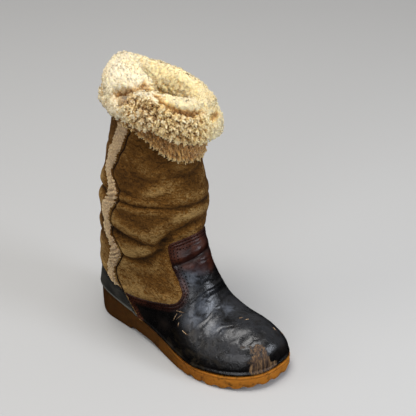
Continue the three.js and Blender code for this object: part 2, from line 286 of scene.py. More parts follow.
outline_steps = 360
share = np.arange(outline_steps + 1) / outline_steps
outline_x = -np.cos(np.pi * share) * toe_x
outer_line, inner_line = (np.stack([outline_x, plan_edge(outline_x, side)], 1) for side in (True, False))
outline = np.concatenate([outer_line, inner_line[1:-1][::-1]])
ahead, behind = np.roll(outline, -1, 0), np.roll(outline, 1, 0)
tangent = unit(ahead - behind)
outward = np.stack([tangent[:, 1], -tangent[:, 0]], 1)
arc = np.concatenate([[0], np.cumsum(np.linalg.norm(ahead - outline, axis=1))])
outline_length, arc = arc[-1], arc[:-1]

cleat_spacing, cleat_notch, cleat_depth, cleat_into, cleats_from_x = 17, 6.5, 2.6, 9.0, 40
cleat_count = round(outline_length / cleat_spacing)
cleat_pitch = outline_length / cleat_count


def notch(at, x):
    """How deep the notch between two cleats is, along the outline."""
    off = np.abs((at / cleat_pitch + 0.5) % 1 - 0.5) * cleat_pitch
    wave = np.cos(np.clip(off / cleat_notch, 0, 1) * np.pi / 2) ** 1.6
    return cleat_depth * wave * np.clip((x - cleats_from_x) / 10, 0, 1)


# The side wall, from the tread up to the ledge: how far out, and how high as (share of the wall, mm).
side_rows = [
    (-2.2, 0, 0), (-0.9, 0, 0.25), (-0.2, 0, 0.9), (0.1, 0, 2.0), (0.35, 0.2, 0), (0.45, 0.4, 0),
    (0.4, 0.6, 0), (0.15, 0.8, 0), (0.0, 1, -3.2), (0.55, 1, -2.5), (0.75, 1, -1.5), (0.6, 1, -0.6),
    (0.1, 1, -0.1), (-1.2, 1, 0), (-3.0, 1, -0.4), (-6.0, 1, -0.8), (-14.0, 1, -0.8),
]
foot = np.interp(outline[:, 0], tread_x, tread_z) + notch(arc, outline[:, 0])
wall_height = sole_top(outline[:, 0]) - foot
far_inside, middle_ends = -2.5, (-100, 85)
rings = []
for out, part, extra in side_rows:
    inset = outline + outward * out
    if out < far_inside:
        # Here the ring is drawn in toward the middle line, so that it can't cross itself at the ends.
        middle = np.stack([np.clip(outline[:, 0], *middle_ends), lean(outline[:, 0])], 1)
        inset = outline + unit(middle - outline) * -out
    rings.append(np.column_stack([inset, foot + part * wall_height + extra]))
side_points = np.concatenate(rings)
side_count = len(outline)

# The tread: cleats round the forefoot, bars across the heel and the forefoot, and a plain waist.
tread_steps = 56
bar_x = np.array([-118, -103, -88, 22, 37, 52, 67, 82, 97])
bar_groove, bar_depth, bar_margin = 5.0, 3.0, 15.0
across = np.linspace(0, 1, tread_steps + 1)[1:-1]
tread_rows = outline_x[1:-1]
low_y = rings[0][1:outline_steps, 1]
high_y = rings[0][outline_steps + 1 :, 1][::-1]


def rows_across(x, low_y, high_y, across):
    """Points row by row: a row at each x, spread from its low to its high y by the shares in across."""
    y = low_y[:, None] + (high_y - low_y)[:, None] * across
    return np.stack([np.broadcast_to(x[:, None], y.shape), y], -1).reshape(-1, 2)


tread_xy = rows_across(tread_rows, low_y, high_y, across)


def tree_of(points):
    """The points in a tree, to look up the nearest ones."""
    tree = kdtree.KDTree(len(points))
    for i, p in enumerate(points):
        tree.insert(p, i)
    tree.balance()
    return tree


edge_tree = tree_of(np.column_stack([outline, np.zeros(side_count)]))
found = [edge_tree.find((x, y, 0)) for x, y in tread_xy]
from_edge = np.array([f[2] for f in found])
edge_arc = arc[[f[1] for f in found]]
rim = notch(edge_arc, tread_xy[:, 0]) * np.clip((cleat_into - from_edge) / 2 + 0.5, 0, 1)
nearest_bar = np.abs(tread_xy[:, :1] - bar_x).min(1)
bar = np.clip((bar_groove / 2 - nearest_bar) / 1.2 + 0.5, 0, 1)
bar *= np.clip((from_edge - bar_margin) / 1.5 + 0.5, 0, 1)
tread_height = np.interp(tread_xy[:, 0], tread_x, tread_z) + np.maximum(rim, bar_depth * bar)
tread_points = np.column_stack([tread_xy, tread_height])

sole_faces = [grid_faces(len(side_rows), side_count, round_columns=True)]
tread_first = len(side_points)
columns = len(across)
sole_faces.append(grid_faces(outline_steps - 1, columns, first=tread_first)[:, ::-1])
i = np.arange(outline_steps - 2)
outer_ring, inner_ring = 1 + i, 2 * outline_steps - 1 - i
first_column, last_column = tread_first + i * columns, tread_first + i * columns + columns - 1
sole_faces.append(np.stack([outer_ring, first_column, first_column + columns, outer_ring + 1], 1)[:, ::-1])
sole_faces.append(np.stack([last_column, inner_ring, inner_ring - 1, last_column + columns], 1)[:, ::-1])
sole_faces = [list(face) for block in sole_faces for face in block]
top_first = (len(side_rows) - 1) * side_count
i = np.arange(1, outline_steps - 1)
far = side_count - i
sole_faces += [[top_first + int(v) for v in face] for face in np.stack([i, i + 1, far - 1, far], 1)]
sole_faces += [[top_first, top_first + 1, top_first + side_count - 1]]
sole_faces += [[top_first + outline_steps + k for k in (0, 1, -1)]]
for tip, row in ((0, 0), (outline_steps, outline_steps - 2)):
    ends = [tread_first + row * columns + k for k in range(columns)]
    sides = [1, side_count - 1] if tip == 0 else [outline_steps - 1, outline_steps + 1]
    fan = [sides[0], *ends, sides[1]]
    for a, b in zip(fan, fan[1:]):
        sole_faces.append([tip, a, b] if tip == 0 else [tip, b, a])

# Gum: warm amber toward the toe and darker brown toward the heel, satin, with fine lines drawn by the
# mould and grime caught in the pores. A pattern's scale is how many of its marks lie in a metre: 28
# clouds of 36 mm, 160 patches of grime of 6 mm. A wave draws 10 / pi lines to a mark, so these are 1.5
# mm apart.
gum = new_material("Gum rubber, moulded, satin")
place = add(gum, "TexCoord", out="Object")
along = add(gum, "SeparateXYZ", Vector=place, out="X")
cloud = add(gum, "TexNoise", Vector=place, Scale=28.0, Detail=5.0)
unevenness = add(gum, "MapRange", Value=cloud, To_Min=-0.2, To_Max=0.2)
to_toe = add(gum, "MapRange", Value=along, From_Min=-0.12, From_Max=0.11)
wear = add(gum, "Math", to_toe, unevenness, operation="ADD")
amber = add(gum, "ValToRGB", Fac=wear, stops=[
    (0.0, "#3b230c"), (0.4, "#472b0e"), (0.62, "#5c380f"), (0.82, "#855016"), (1.0, "#9c611c")
])
grime = add(gum, "TexNoise", Vector=place, Scale=160.0, Detail=6.0, Roughness=0.7)
grime_mask = add(gum, "MapRange", Value=grime, From_Min=0.5, From_Max=0.74)
dirty = add(gum, "Mix", grime_mask, amber, linear("#2a190a"), data_type="RGBA")
lines = add(
    gum, "TexWave", Vector=place, Scale=210.0, Distortion=1.2, Detail=2.0, Detail_Scale=1.5, out="Fac",
    bands_direction="Z",
)
drawn = add(gum, "Bump", Height=lines, Strength=0.12, Distance=0.0004)
bump = add(gum, "Bump", Height=grime, Strength=0.25, Distance=0.0005, Normal=drawn)
shader = add(
    gum, "BsdfPrincipled", Base_Color=dirty, Roughness=0.5, IOR=1.52, Specular_IOR_Level=0.08,
    Subsurface_Weight=0.08, Subsurface_Scale=0.004, Normal=bump,
)
add(gum, "OutputMaterial", Surface=shader)

sole = add_mesh("gum_outsole", np.concatenate([side_points, tread_points]), sole_faces, gum)
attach(sole, "root")
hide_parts("outsole")


# ---- Suede shaft ----
# One sheepskin hide, suede side out and fleece side in, cut in two and sewn up the inner and the outer
# side and lasted over the foot. It is soft: it slumps in deep folds at the ankle and over the instep.

# Sections of the last from the ball to the collar. Each lies in a plane across the boot, from its front
# (x, z) to its back (x, z). Then come its half-widths to the outer and the inner side, where along the
# plane they are met, the powers of the round ahead of that and behind it, and its shift to the inner
# side.
section_rows = [
    (64, 66, 62, -14, 53, 53, 0.54, 1.9, 2.6, 0), (50, 79, 27, -12, 50, 48, 0.58, 1.95, 2.6, 0),
    (41, 101, -12, -10, 45, 41, 0.62, 2.0, 2.6, 0), (34, 122, -50, -6, 42, 38, 0.6, 2.0, 2.6, 0),
    (26, 140, -93, -2, 43, 41, 0.56, 2.0, 2.5, 0), (20, 157, -137, 22, 46, 45, 0.52, 2.0, 2.3, 0),
    (18, 174, -131, 66, 51, 50, 0.5, 2.0, 2.1, 0), (19, 190, -124, 110, 55, 54, 0.5, 2.0, 2.0, 0),
    (19, 208, -120, 152, 55.5, 55.5, 0.5, 2.0, 2.0, 0), (14, 228, -115, 192, 52, 52, 0.5, 2.0, 2.0, 0),
    (12, 252, -108, 228, 48, 48, 0.5, 2.0, 2.0, 1), (13, 276, -100, 266, 46, 46, 0.5, 2.0, 2.0, 3),
    (14, 305, -94, 305, 45, 45, 0.5, 2.0, 2.0, 6), (15, 350, -92, 350, 45, 45, 0.5, 2.0, 2.0, 8),
]
upper_inset = 3.0
toe_tip_x, toe_tip_z, toe_ridge, toe_power, toe_sections = toe_x - upper_inset, 32.0, 60.0, 2.8, 6
ball_half = 56.0

toe_rows = []
for i in range(toe_sections):
    root = section_rows[0]
    angle = math.pi / 2 * (1 - (i + 0.08) / toe_sections)
    along = math.sin(angle) ** (2 / toe_round_power)
    x = root[0] + (toe_tip_x - root[0]) * along
    high = (1 - along**toe_power) ** (1 / toe_power)
    ridge = root[1] + (toe_ridge - root[1]) * along
    sole_x = x * toe_x / toe_tip_x
    half = float(end_round(sole_x)) * (ball_half - upper_inset)
    front_z = toe_tip_z + (ridge - toe_tip_z) * high
    back_z = toe_tip_z + (root[3] - toe_tip_z) * high
    toe_rows.append((x, front_z, x, back_z, half, half, *root[6:9], float(lean(sole_x))))
form_rows = np.array(toe_rows + section_rows, float)
top_row = len(form_rows) - 1


def section(at, turn):
    """A point of the last. at runs from its toe to its top, and turn once round it, by the outer side."""
    keys = np.arange(len(form_rows))
    fx, fz, bx, bz, outer, inner, widest, front, rear, shift = (
        through(keys, form_rows[:, k], at) for k in range(10)
    )
    angle = 2 * np.pi * (turn - np.floor(turn))
    on_outer = angle < np.pi
    half = np.where(on_outer, angle, 2 * np.pi - angle)
    ahead = half < np.pi / 2
    power = np.where(ahead, front, rear)
    along = np.abs(np.cos(half)) ** (2 / power)
    wide = np.abs(np.sin(half)) ** (2 / power)
    t = np.where(ahead, widest * (1 - along), widest + (1 - widest) * along)
    y = wide * np.where(on_outer, -outer, inner) + shift
    return np.stack([fx + (bx - fx) * t, y, fz + (bz - fz) * t], -1)


def form(at, turn, grow=0.0):
    """The same point moved out along the surface's normal by grow, and that normal."""
    step = 2e-3
    at, turn = np.broadcast_arrays(np.asarray(at, float), np.asarray(turn, float))
    along = section(np.minimum(at + step, top_row), turn) - section(np.maximum(at - step, 0), turn)
    around = section(at, turn + step) - section(at, turn - step)
    normal = unit(np.cross(along, around))
    return section(at, turn) + normal * np.asarray(grow, float)[..., None], normal


def row_where(is_under, turn, low):
    """Where along the last, from that row up, is_under ends. It is found by halving."""
    low, high = np.full(turn.shape, float(low)), np.full(turn.shape, float(top_row))
    for _ in range(26):
        middle = (low + high) / 2
        under = is_under(section(middle, turn))
        low, high = np.where(under, middle, low), np.where(under, high, middle)
    return (low + high) / 2


def shaft_at(z, turn):
    """Where along the last the shaft is at that height."""
    z, turn = np.broadcast_arrays(np.asarray(z, float), np.asarray(turn, float))
    return row_where(lambda points: points[..., 2] < z, turn, toe_sections + 2)


# The collar is cut on a slant, highest at the outer back.
collar_middle, collar_slope, collar_highest = np.array([-39.0, 7.0, 313.0]), 0.4, 0.4
uphill = np.array([math.cos(2 * math.pi * collar_highest), -math.sin(2 * math.pi * collar_highest), 0])


def over_collar(points):
    return points[..., 2] - collar_middle[2] - collar_slope * ((points - collar_middle) @ uphill)


def collar_at(turn):
    return row_where(lambda points: over_collar(points) < 0, turn, top_row - 5)


# Creases, each as (turn, height) along it. Then its depth and half-width, and how far the slack hide
# bulges above it and below it.
creases = [
    (
        [
            (0.33, 190), (0.31, 194), (0.28, 196.2), (0.245, 197), (0.22, 197.9), (0.195, 197.6),
            (0.165, 198.4), (0.135, 199.6), (0.103, 199), (0.065, 198.1), (0.035, 198),
        ],
        1.9, 2.2, 1.3, 1.3, 0.4,
    ),
    (
        [
            (0.1, 201), (0.06, 199), (0.035, 198), (-0.005, 196.4), (-0.052, 192.9), (-0.1, 189),
            (-0.16, 190), (-0.2, 194),
        ],
        2.0, 4.0, 1.5, 1.5,
    ),
    ([(0.29, 198), (0.34, 196), (0.4, 191), (0.46, 186), (0.52, 185), (0.57, 189)], 3.0, 4.4, 1.8, 1.6),
    (
        [
            (0.36, 163), (0.31, 159.5), (0.263, 156.1), (0.235, 153.8), (0.212, 150.8), (0.188, 148.7),
            (0.168, 146.9), (0.145, 147.4), (0.125, 150.5), (0.103, 155.9), (0.083, 160.2),
        ],
        2.4, 5.2, 1.7, 0.6,
    ),
    ([(0.25, 160), (0.235, 156.5), (0.22, 153), (0.2, 150.5), (0.18, 148.5)], 0.8, 1.5, 0.2, 0.2),
    (
        [
            (0.13, 151), (0.115, 155.2), (0.098, 162), (0.072, 168.2), (0.037, 172), (0.003, 173.3),
            (-0.047, 170.8),
        ],
        1.7, 5.0, 1.2, 1.2,
    ),
    (
        [
            (0.27, 124), (0.238, 120.6), (0.223, 118.5), (0.208, 117.4), (0.19, 119.4), (0.173, 123.5),
            (0.152, 130.4), (0.135, 137.1), (0.12, 141.8), (0.107, 144.9),
        ],
        2.6, 4.6, 2.0, 0.6,
    ),
    ([(0.168, 213.5), (0.143, 216.5), (0.118, 220.2), (0.092, 222), (0.06, 220)], -0.9, 4.0, 0, 0),
    ([(0.15, 210), (0.13, 212), (0.11, 214.5), (0.09, 216)], 0.7, 1.6, 0.4, 0.2),
    ([(0.165, 206), (0.14, 208), (0.12, 209.5)], 0.6, 1.6, 0.3, 0.2),
    ([(0.255, 209), (0.235, 211), (0.21, 210), (0.19, 207)], 0.8, 2.2, 0.4, 0.3),
    ([(0.2, 138), (0.19, 132), (0.19, 126)], 0.7, 2.0, 0.3, 0.3),
    ([(0.23, 105), (0.21, 98), (0.2, 90)], 0.8, 3.5, 0.3, 0.3),
    ([(0.14, 128), (0.16, 121), (0.17, 112)], 0.8, 3.0, 0.3, 0.3),
    ([(0.215, 236), (0.18, 232), (0.14, 231), (0.1, 233)], 0.9, 4.5, 0.2, 0.4),
    ([(0.1, 238), (0.05, 234), (0.0, 233), (-0.05, 236), (-0.1, 240)], 1.2, 5.0, 0.5, 0.6),
    (
        [(-0.1, 171), (-0.16, 168), (-0.22, 170), (-0.28, 174), (-0.36, 171), (-0.44, 166)], 2.6, 4.5,
        1.6, 1.4,
    ),
    ([(-0.09, 150), (-0.14, 146), (-0.19, 146), (-0.25, 151), (-0.32, 150)], 2.8, 4.4, 1.9, 1.0),
    ([(-0.13, 128), (-0.18, 123), (-0.23, 122), (-0.3, 127), (-0.38, 126)], 2.3, 4.5, 1.6, 1.0),
    ([(-0.12, 206), (-0.19, 203), (-0.26, 207), (-0.33, 205)], 1.4, 3.0, 0.8, 0.8),
    ([(0.32, 134), (0.38, 130), (0.45, 128), (0.52, 129), (0.58, 133)], 2.6, 5.0, 1.6, 1.2),
    ([(0.36, 163), (0.43, 158), (0.5, 156), (0.56, 159), (0.62, 166)], 2.8, 5.0, 1.8, 1.2),
    ([(0.4, 112), (0.46, 108), (0.53, 107), (0.6, 110)], 2.0, 5.0, 1.2, 1.0),
    ([(0.4, 226), (0.46, 222), (0.52, 222), (0.58, 226), (0.66, 228)], 1.8, 6.0, 1.2, 1.0),
    ([(-0.12, 226), (-0.18, 222), (-0.25, 222), (-0.33, 228)], 1.6, 5.5, 1.0, 0.8),
    ([(0.38, 256), (0.45, 252), (0.54, 253), (0.6, 258)], 1.2, 5.5, 0.6, 0.6),
]


def curve(corners, count, start=0.0):
    """That many points along a smooth curve through the corners."""
    steps = np.linspace(start, len(corners) - 1, count)
    return np.stack([through(np.arange(len(corners)), values, steps) for values in zip(*corners)], 1)


def draw_line(corners, smooth_steps=12):
    """The points of a crease on the last, closely spaced, from its (turn, height) corners."""
    turn, z = curve(corners, smooth_steps * (len(corners) - 1) + 1).T
    return form(shaft_at(z, turn), turn)[0]


def crease(points, line, depth, width, over=0.0, under=0.0, ends=0.18):
    """How far one crease moves each point out, and how deep in it each point is, from 0 to 1."""
    tree = tree_of(line)
    reach = 7 * width + 4
    near = np.all((points > line.min(0) - reach) & (points < line.max(0) + reach), axis=1)
    moved, inside = np.zeros(len(points)), np.zeros(len(points))
    for k in np.flatnonzero(near):
        at, i, distance = tree.find(points[k])
        if distance < reach:
            share = i / (len(line) - 1)
            fade = min(1.0, min(share, 1 - share) / ends + 0.05)
            fade = fade * fade * (3 - 2 * fade)
            above = points[k][2] > at[2]
            trough = math.exp(-((distance / width) ** 2))
            hump = math.exp(-(((distance - 2.6 * width) / (1.7 * width)) ** 2))
            moved[k] = fade * ((over if above else under) * hump - depth * trough)
            inside[k] = fade * trough
    return moved, inside


hide_columns, hide_rows = 250, 165
turns = np.arange(hide_columns) / hide_columns
rise = np.linspace(0, 1, hide_rows)[:, None]
lowest_row = toe_sections + 2.0
hide_at = lowest_row + (collar_at(turns) - lowest_row) * rise**0.9
hide_points, hide_normals = (v.reshape(-1, 3) for v in form(hide_at, turns))

slack = 1.0 * lattice_noise(hide_points * (1, 1, 1.3), 34, 3)
slack += 0.5 * lattice_noise(hide_points * (1, 1, 2.0), 15, 4)
slack += 0.28 * lattice_noise(hide_points * (1, 1, 1.8), 7, 5)
# fold_shade: how far each point's colour is painted dark in the folds, as shade.
fold_shade = np.zeros(len(hide_points))
for corners, *facts in creases:
    moved, inside = crease(hide_points, draw_line(corners), *facts)
    slack += moved
    if facts[0] > 0:
        fold_shade = np.maximum(fold_shade, inside**2 * min(1, facts[0] / 4) * min(1, 3 / facts[1]))

# The vamp and the counter are laid over the hide inside these edges, seen from the side as (x, z). They
# meet in a seam that runs down and forward to the sole.
seam = [(-62, 61), (-50, 42), (-36, 20), (-36, -10)]
quarter_edge = [
    (-62, 61), (-53, 61.3), (-45, 62), (-33, 63.6), (-20, 66), (-4, 70), (11, 74), (18, 77),
    (22.5, 80.5), (24.8, 85.5),
]
tab_edge = [
    (25, 91), (21.5, 98), (17, 106), (12, 113), (8, 120), (4.5, 130), (2, 140), (2, 145), (3.5, 149),
    (7, 151.8), (12, 154.5), (22, 160),
]
vamp_edge = [*seam[:0:-1], *quarter_edge, *tab_edge, (150, 223), (150, -10)]
counter_edge = [
    (-150, -10), (-36.6, -10), (-36.6, 20), (-50.6, 42), (-62.6, 61), (-66, 63.2), (-72, 66), (-84, 72),
    (-96, 79), (-112, 85), (-150, 88),
]


def inside_edge(points, edge):
    """How far inside the edge each point lies, seen from the side, and the way in which that grows."""
    xz = np.asarray(points)[:, [0, 2]]
    a = np.array(edge, float)
    b = np.roll(a, -1, 0)
    distance, direction = np.full(len(xz), 1e9), np.zeros((len(xz), 2))
    crossings = np.zeros(len(xz), int)
    for p, q in zip(a, b):
        step = q - p
        t = np.clip((xz - p) @ step / (step @ step), 0, 1)
        away = xz - (p + t[:, None] * step)
        length = np.linalg.norm(away, axis=1)
        nearer = length < distance
        distance[nearer], direction[nearer] = length[nearer], away[nearer]
        if p[1] != q[1]:
            spans = (xz[:, 1] < p[1]) != (xz[:, 1] < q[1])
            crossings += spans & (xz[:, 0] < p[0] + (xz[:, 1] - p[1]) * step[0] / step[1])
    sign = np.where(crossings % 2 == 1, 1.0, -1.0)
    direction = direction / np.maximum(distance, 1e-6)[:, None] * sign[:, None]
    return distance * sign, direction


def from_edge_of(points, normals, edge):
    """The same, measured over the surface of the boot."""
    distance, direction = inside_edge(points, edge)
    square = (normals[:, [0, 2]] * direction).sum(1) ** 2
    return distance / np.sqrt(np.clip(1 - square, 0.12, 1))


def smooth_step(share):
    share = np.clip(share, 0, 1)
    return share * share * (3 - 2 * share)


def mound(value, centre, width):
    """1 at the centre, and less the further from it."""
    return np.exp(-(((value - centre) / width) ** 2))


# The two side seams, from the collar down to the sole as (turn, height). The outer one wanders.
outer_seam = [
    (0.235, 292), (0.233, 283), (0.24, 278.5), (0.245, 269.3), (0.25, 261.2), (0.265, 251.9),
    (0.27, 243.1), (0.285, 232.3), (0.285, 226.4), (0.275, 220.8), (0.258, 216), (0.245, 208.3),
    (0.245, 198.1), (0.255, 190.2), (0.27, 180.9), (0.275, 170.6), (0.278, 160.8), (0.278, 148.5),
    (0.263, 141.2), (0.25, 134.7), (0.242, 127.4), (0.245, 117.6), (0.255, 105.2), (0.265, 94.5),
    (0.265, 85.6), (0.265, 77.4), (0.265, 72.5), (0.265, 66.7), (0.27, 59.7),
]
inner_seam = [
    (-0.25, 300), (-0.252, 270), (-0.262, 240), (-0.256, 215), (-0.25, 196), (-0.262, 176),
    (-0.266, 150), (-0.255, 128), (-0.262, 100), (-0.265, 78), (-0.268, 60),
]
seam_lines = [draw_line(seam_corners, 10) for seam_corners in (outer_seam, inner_seam)]
# seam_shade: how far each point's colour is painted dark along the seam grooves, as shade.
seam_shade = np.zeros(len(hide_points))
for seam_line in seam_lines:
    moved, inside = crease(hide_points, seam_line, 2.2, 1.7, 0.7, 0.7, 0.02)
    slack += moved
    seam_shade = np.maximum(seam_shade, inside)

# Where the slack stands up its colour is painted paler, and where it sinks darker: partly rubbing and
# partly painted light and shade. Toward the bottom it is paler.
relief_light_and_low_tone = np.clip(slack / 2.6, -1, 1) + 0.95 * smooth_step((150 - hide_points[:, 2]) / 70)

# The hide runs on under the vamp and the counter, a little lower, and their stitches pull it down at
# the edge.
hide_edges = (vamp_edge, counter_edge)
covered = np.max([from_edge_of(hide_points, hide_normals, edge) for edge in hide_edges], axis=0)
covered_sink, sinks_over = 3.0, 9
sink = covered_sink * smooth_step(covered / sinks_over)
puff = 1.3 * mound(covered, -7, 4.5) - 0.5 * mound(covered, 0, 2.5)
slack = slack * smooth_step(-covered / 8) + puff
# Up to 10 mm below the collar it lies flat.
slack *= np.clip(-over_collar(hide_points) / 25 - 0.4, 0, 1)
hide_base, hide_lift = hide_points, slack - sink
hide_points = hide_base + hide_normals * hide_lift[:, None]

# Sheepskin with its flesh side buffed to a nap: soft and matt, tan mottled with brown. Painted shade
# darkens it in the folds and along the seams, and it is painted paler where it stands up and darker
# in the hollows, partly for rubbing and partly as light and shade. It wrinkles every 7 mm. The nap,
# 0.2 mm on the real one, is drawn 2 mm wide, so that it shows.
suede = new_material("Sheepskin suede, napped")
place = add(suede, "TexCoord", out="Object")
fold_shade_mask, seam_shade_mask, relief_light_mask = (
    add(suede, "Attribute", out="Fac", attribute_name=key) for key in ("fold", "seam", "rise")
)
mottle = add(suede, "TexNoise", Vector=place, Scale=15.0, Detail=3.0, Roughness=0.5)
grain = add(suede, "TexNoise", Vector=place, Scale=520.0, Detail=4.0, Roughness=0.7)
blend = add(suede, "Math", mottle, 0.4, 0.12, operation="MULTIPLY_ADD")
tone = add(suede, "Math", grain, 0.36, blend, operation="MULTIPLY_ADD")
laid = add(suede, "Mapping", Vector=place, Scale=(1.0, 1.0, 1.7))
wrinkles = add(
    suede, "TexNoise", Vector=laid, Scale=150.0, Detail=4.0, Roughness=0.6, Offset=0.95, Gain=2.0,
    Distortion=0.8, noise_type="RIDGED_MULTIFRACTAL",
)
furrows = add(suede, "MapRange", Value=wrinkles, From_Min=0.3, From_Max=1.3, To_Min=-0.08, To_Max=0.05)
lined = add(suede, "Math", tone, furrows, operation="ADD")
# Painted light and shade: paler on the crests and darker in the hollows.
relief_lit = add(suede, "Math", relief_light_mask, 0.19, lined, operation="MULTIPLY_ADD")
tan = add(suede, "ValToRGB", Fac=relief_lit, stops=[
    (0.28, "#261404"), (0.4, "#3d2509"), (0.5, "#543510"), (0.6, "#6c481c"), (0.75, "#9f7f4c")
])
# Painted shade: darker in the folds and along the seams.
shaded = add(suede, "Mix", fold_shade_mask, tan, linear("#241608"), data_type="RGBA")
sewn = add(suede, "Mix", seam_shade_mask, shaded, linear("#0e0805"), data_type="RGBA")
wrinkled = add(suede, "Bump", Height=wrinkles, Strength=1.0, Distance=0.0016)
nap = add(suede, "Bump", Height=grain, Strength=0.5, Distance=0.0006, Normal=wrinkled)
shader = add(
    suede, "BsdfPrincipled", Base_Color=sewn, Roughness=0.92, Specular_IOR_Level=0.1, Sheen_Weight=0.04,
    Sheen_Roughness=0.5, Sheen_Tint=linear("#b08c50"), Normal=nap,
)
add(suede, "OutputMaterial", Surface=shader)


def trim(params, faces, field):
    """What is left of a triangle mesh where field is above 0. params are read at the cut's points too."""
    within = field > 0
    corners_in = within[faces].sum(1)
    whole = faces[corners_in == 3]
    cut = faces[(corners_in == 1) | (corners_in == 2)]
    lone_is_in = within[cut].sum(1) == 1
    lone = (within[cut] == lone_is_in[:, None]).argmax(1)
    cut = np.take_along_axis(cut, (lone[:, None] + np.arange(3)) % 3, 1)
    a, b, c = cut.T
    pairs = np.sort(np.concatenate([np.stack([a, b], 1), np.stack([a, c], 1)]), 1)
    pairs, at = np.unique(pairs, axis=0, return_inverse=True)
    at = at.ravel() + len(params)
    f0, f1 = field[pairs[:, 0]], field[pairs[:, 1]]
    t = (f0 / (f0 - f1))[:, None]
    params = np.concatenate([params, params[pairs[:, 0]] * (1 - t) + params[pairs[:, 1]] * t])
    ab, ac = at[: len(cut)], at[len(cut) :]
    small = np.stack([a, ab, ac], 1)[lone_is_in]
    rest = ~lone_is_in
    large = [np.stack([ab, b, c], 1)[rest], np.stack([ab, c, ac], 1)[rest]]
    faces = np.concatenate([whole, small, *large])
    used, faces = np.unique(faces, return_inverse=True)
    return params[used], faces.reshape(-1, 3)


def triangles(quads):
    return np.concatenate([quads[:, [0, 1, 2]], quads[:, [0, 2, 3]]])


# It is lasted under the foot, so it ends just inside the sole.
hide_values = np.column_stack([hide_points, fold_shade, seam_shade, relief_light_and_low_tone])
hide_faces = triangles(grid_faces(hide_rows, hide_columns, round_columns=True))
over_sole = hide_points[:, 2] - sole_top(hide_points[:, 0])
hide_values, hide_faces = trim(hide_values, hide_faces, over_sole + 2)
shaft = add_mesh(
    "suede_shaft", hide_values[:, :3], hide_faces, suede,
    **dict(zip(("fold", "seam", "rise"), hide_values[:, 3:].T)),
)
hide_thick = 0.002
thickness = shaft.modifiers.new("hide", "SOLIDIFY")
thickness.thickness = hide_thick
thickness.offset = -1
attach(shaft, "root")
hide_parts("upper")


# ---- Vamp ----
# Side leather of about 2 mm, black over brown, lasted over the toe and carried up the instep as a tab.
# Two rows of stitches hold its edge to the suede. It is worn: creased at the joint, dented behind the
# toe and scuffed through to the brown.

leather, lay_gap, edge_round, stitch_clear = 2.0, 0.3, 1.7, 4


def open_edges(faces):
    """The directed edges that belong to one face only."""
    edges = np.concatenate([faces[:, [0, 1]], faces[:, [1, 2]], faces[:, [2, 0]]])
    _, first, count = np.unique(np.sort(edges, 1), axis=0, return_index=True, return_counts=True)
    return edges[first[count == 1]]


def closed_sheet(outer, inner, faces):
    """One closed skin: the faces on the outer points, again on the inner ones, and the edge between."""
    n = len(outer)
    rim = open_edges(faces)
    a, b = rim[:, 0], rim[:, 1]
    walls = np.concatenate([np.stack([b, a, a + n], 1), np.stack([b, a + n, b + n], 1)])
    return np.concatenate([outer, inner]), np.concatenate([faces, faces[:, ::-1] + n, walls])


def contour(faces, field, level):
    """The lines where field is at that level, each as rows of (point, point, share between them)."""
    above = field > level
    hit = faces[(above[faces].sum(1) == 1) | (above[faces].sum(1) == 2)]
    neighbours = {}
    for face in hit.tolist():
        ends = []
        for a, b in ((face[0], face[1]), (face[1], face[2]), (face[2], face[0])):
            if above[a] != above[b]:
                ends.append((min(a, b), max(a, b)))
        neighbours.setdefault(ends[0], []).append(ends[1])
        neighbours.setdefault(ends[1], []).append(ends[0])
    lines, seen = [], set()
    starts = sorted(k for k, v in neighbours.items() if len(v) == 1) + sorted(neighbours)
    for start in starts:
        if start in seen:
            continue
        line, here = [start], start
        seen.add(start)
        while True:
            following = [k for k in neighbours[here] if k not in seen]
            if not following:
                break
            here = following[0]
            seen.add(here)
            line.append(here)
        if len(line) > 3:
            pairs = np.array(line)
            share = (level - field[pairs[:, 0]]) / (field[pairs[:, 1]] - field[pairs[:, 0]])
            lines.append((pairs, share[:, None]))
    return lines


def walked(line):
    """How far along the line each of its points is."""
    return np.concatenate([[0], np.cumsum(np.linalg.norm(np.diff(line, axis=0), axis=1))])


def evenly(line, normals, pitch):
    """Places along a line so far apart, each with its normal and the line's direction there."""
    keep = np.concatenate([[True], np.diff(walked(line)) > 1e-5])
    line, normals = line[keep], normals[keep]
    at = walked(line)
    count = int(at[-1] / pitch)
    want = (np.arange(count) + 0.5) * at[-1] / max(count, 1)
    points, ahead, behind, turned = (
        np.stack([np.interp(want + step, at, column) for column in values.T], 1)
        for values, step in ((line, 0), (line, 0.8), (line, -0.8), (normals, 0))
    )
    return points, unit(turned), unit(ahead - behind)


def stitches(places, length, thick, sink):
    """A bead of thread at each place: up from one hole, along the line and down into the next."""
    points, normals, along = places
    across = unit(np.cross(along, normals))
    sides = np.arange(6) / 6 * 2 * np.pi
    shape = ((-0.5, 0.35, 0.9), (-0.32, 0.9, 0.25), (0, 1, 0), (0.32, 0.9, 0.25), (0.5, 0.35, 0.9))
    rings = []
    for share, size, drop in shape:
        centre = points + along * share * length - normals * (drop * thick + sink)
        ring = [
            centre + size * thick / 2 * (across * math.cos(s) + normals * math.sin(s)) for s in sides
        ]
        rings.append(np.stack(ring, 1))
    mesh_points = np.stack(rings, 1).reshape(-1, 3)
    each = grid_faces(5, 6, round_columns=True)
    caps = [[5, 4, 3, 2, 1, 0], [24, 25, 26, 27, 28, 29]]
    faces = [
        [int(v) + 30 * i for v in face] for i in range(len(points)) for face in [*each.tolist(), *caps]
    ]
    return mesh_points, faces


def lasted(params):
    """form for the leathers. Ahead of the first section, below 0, they close over the tip of the toe."""
    points, normals = form(np.maximum(params[:, 0], 0), params[:, 1])
    share = np.clip(1 + params[:, :1], 0, 1)
    tip = np.array([toe_tip_x + 0.4, lean(toe_x), toe_tip_z - 1])
    return tip + (points - tip) * share, unit(normals * share + (1 - share) * (1, 0, 0))


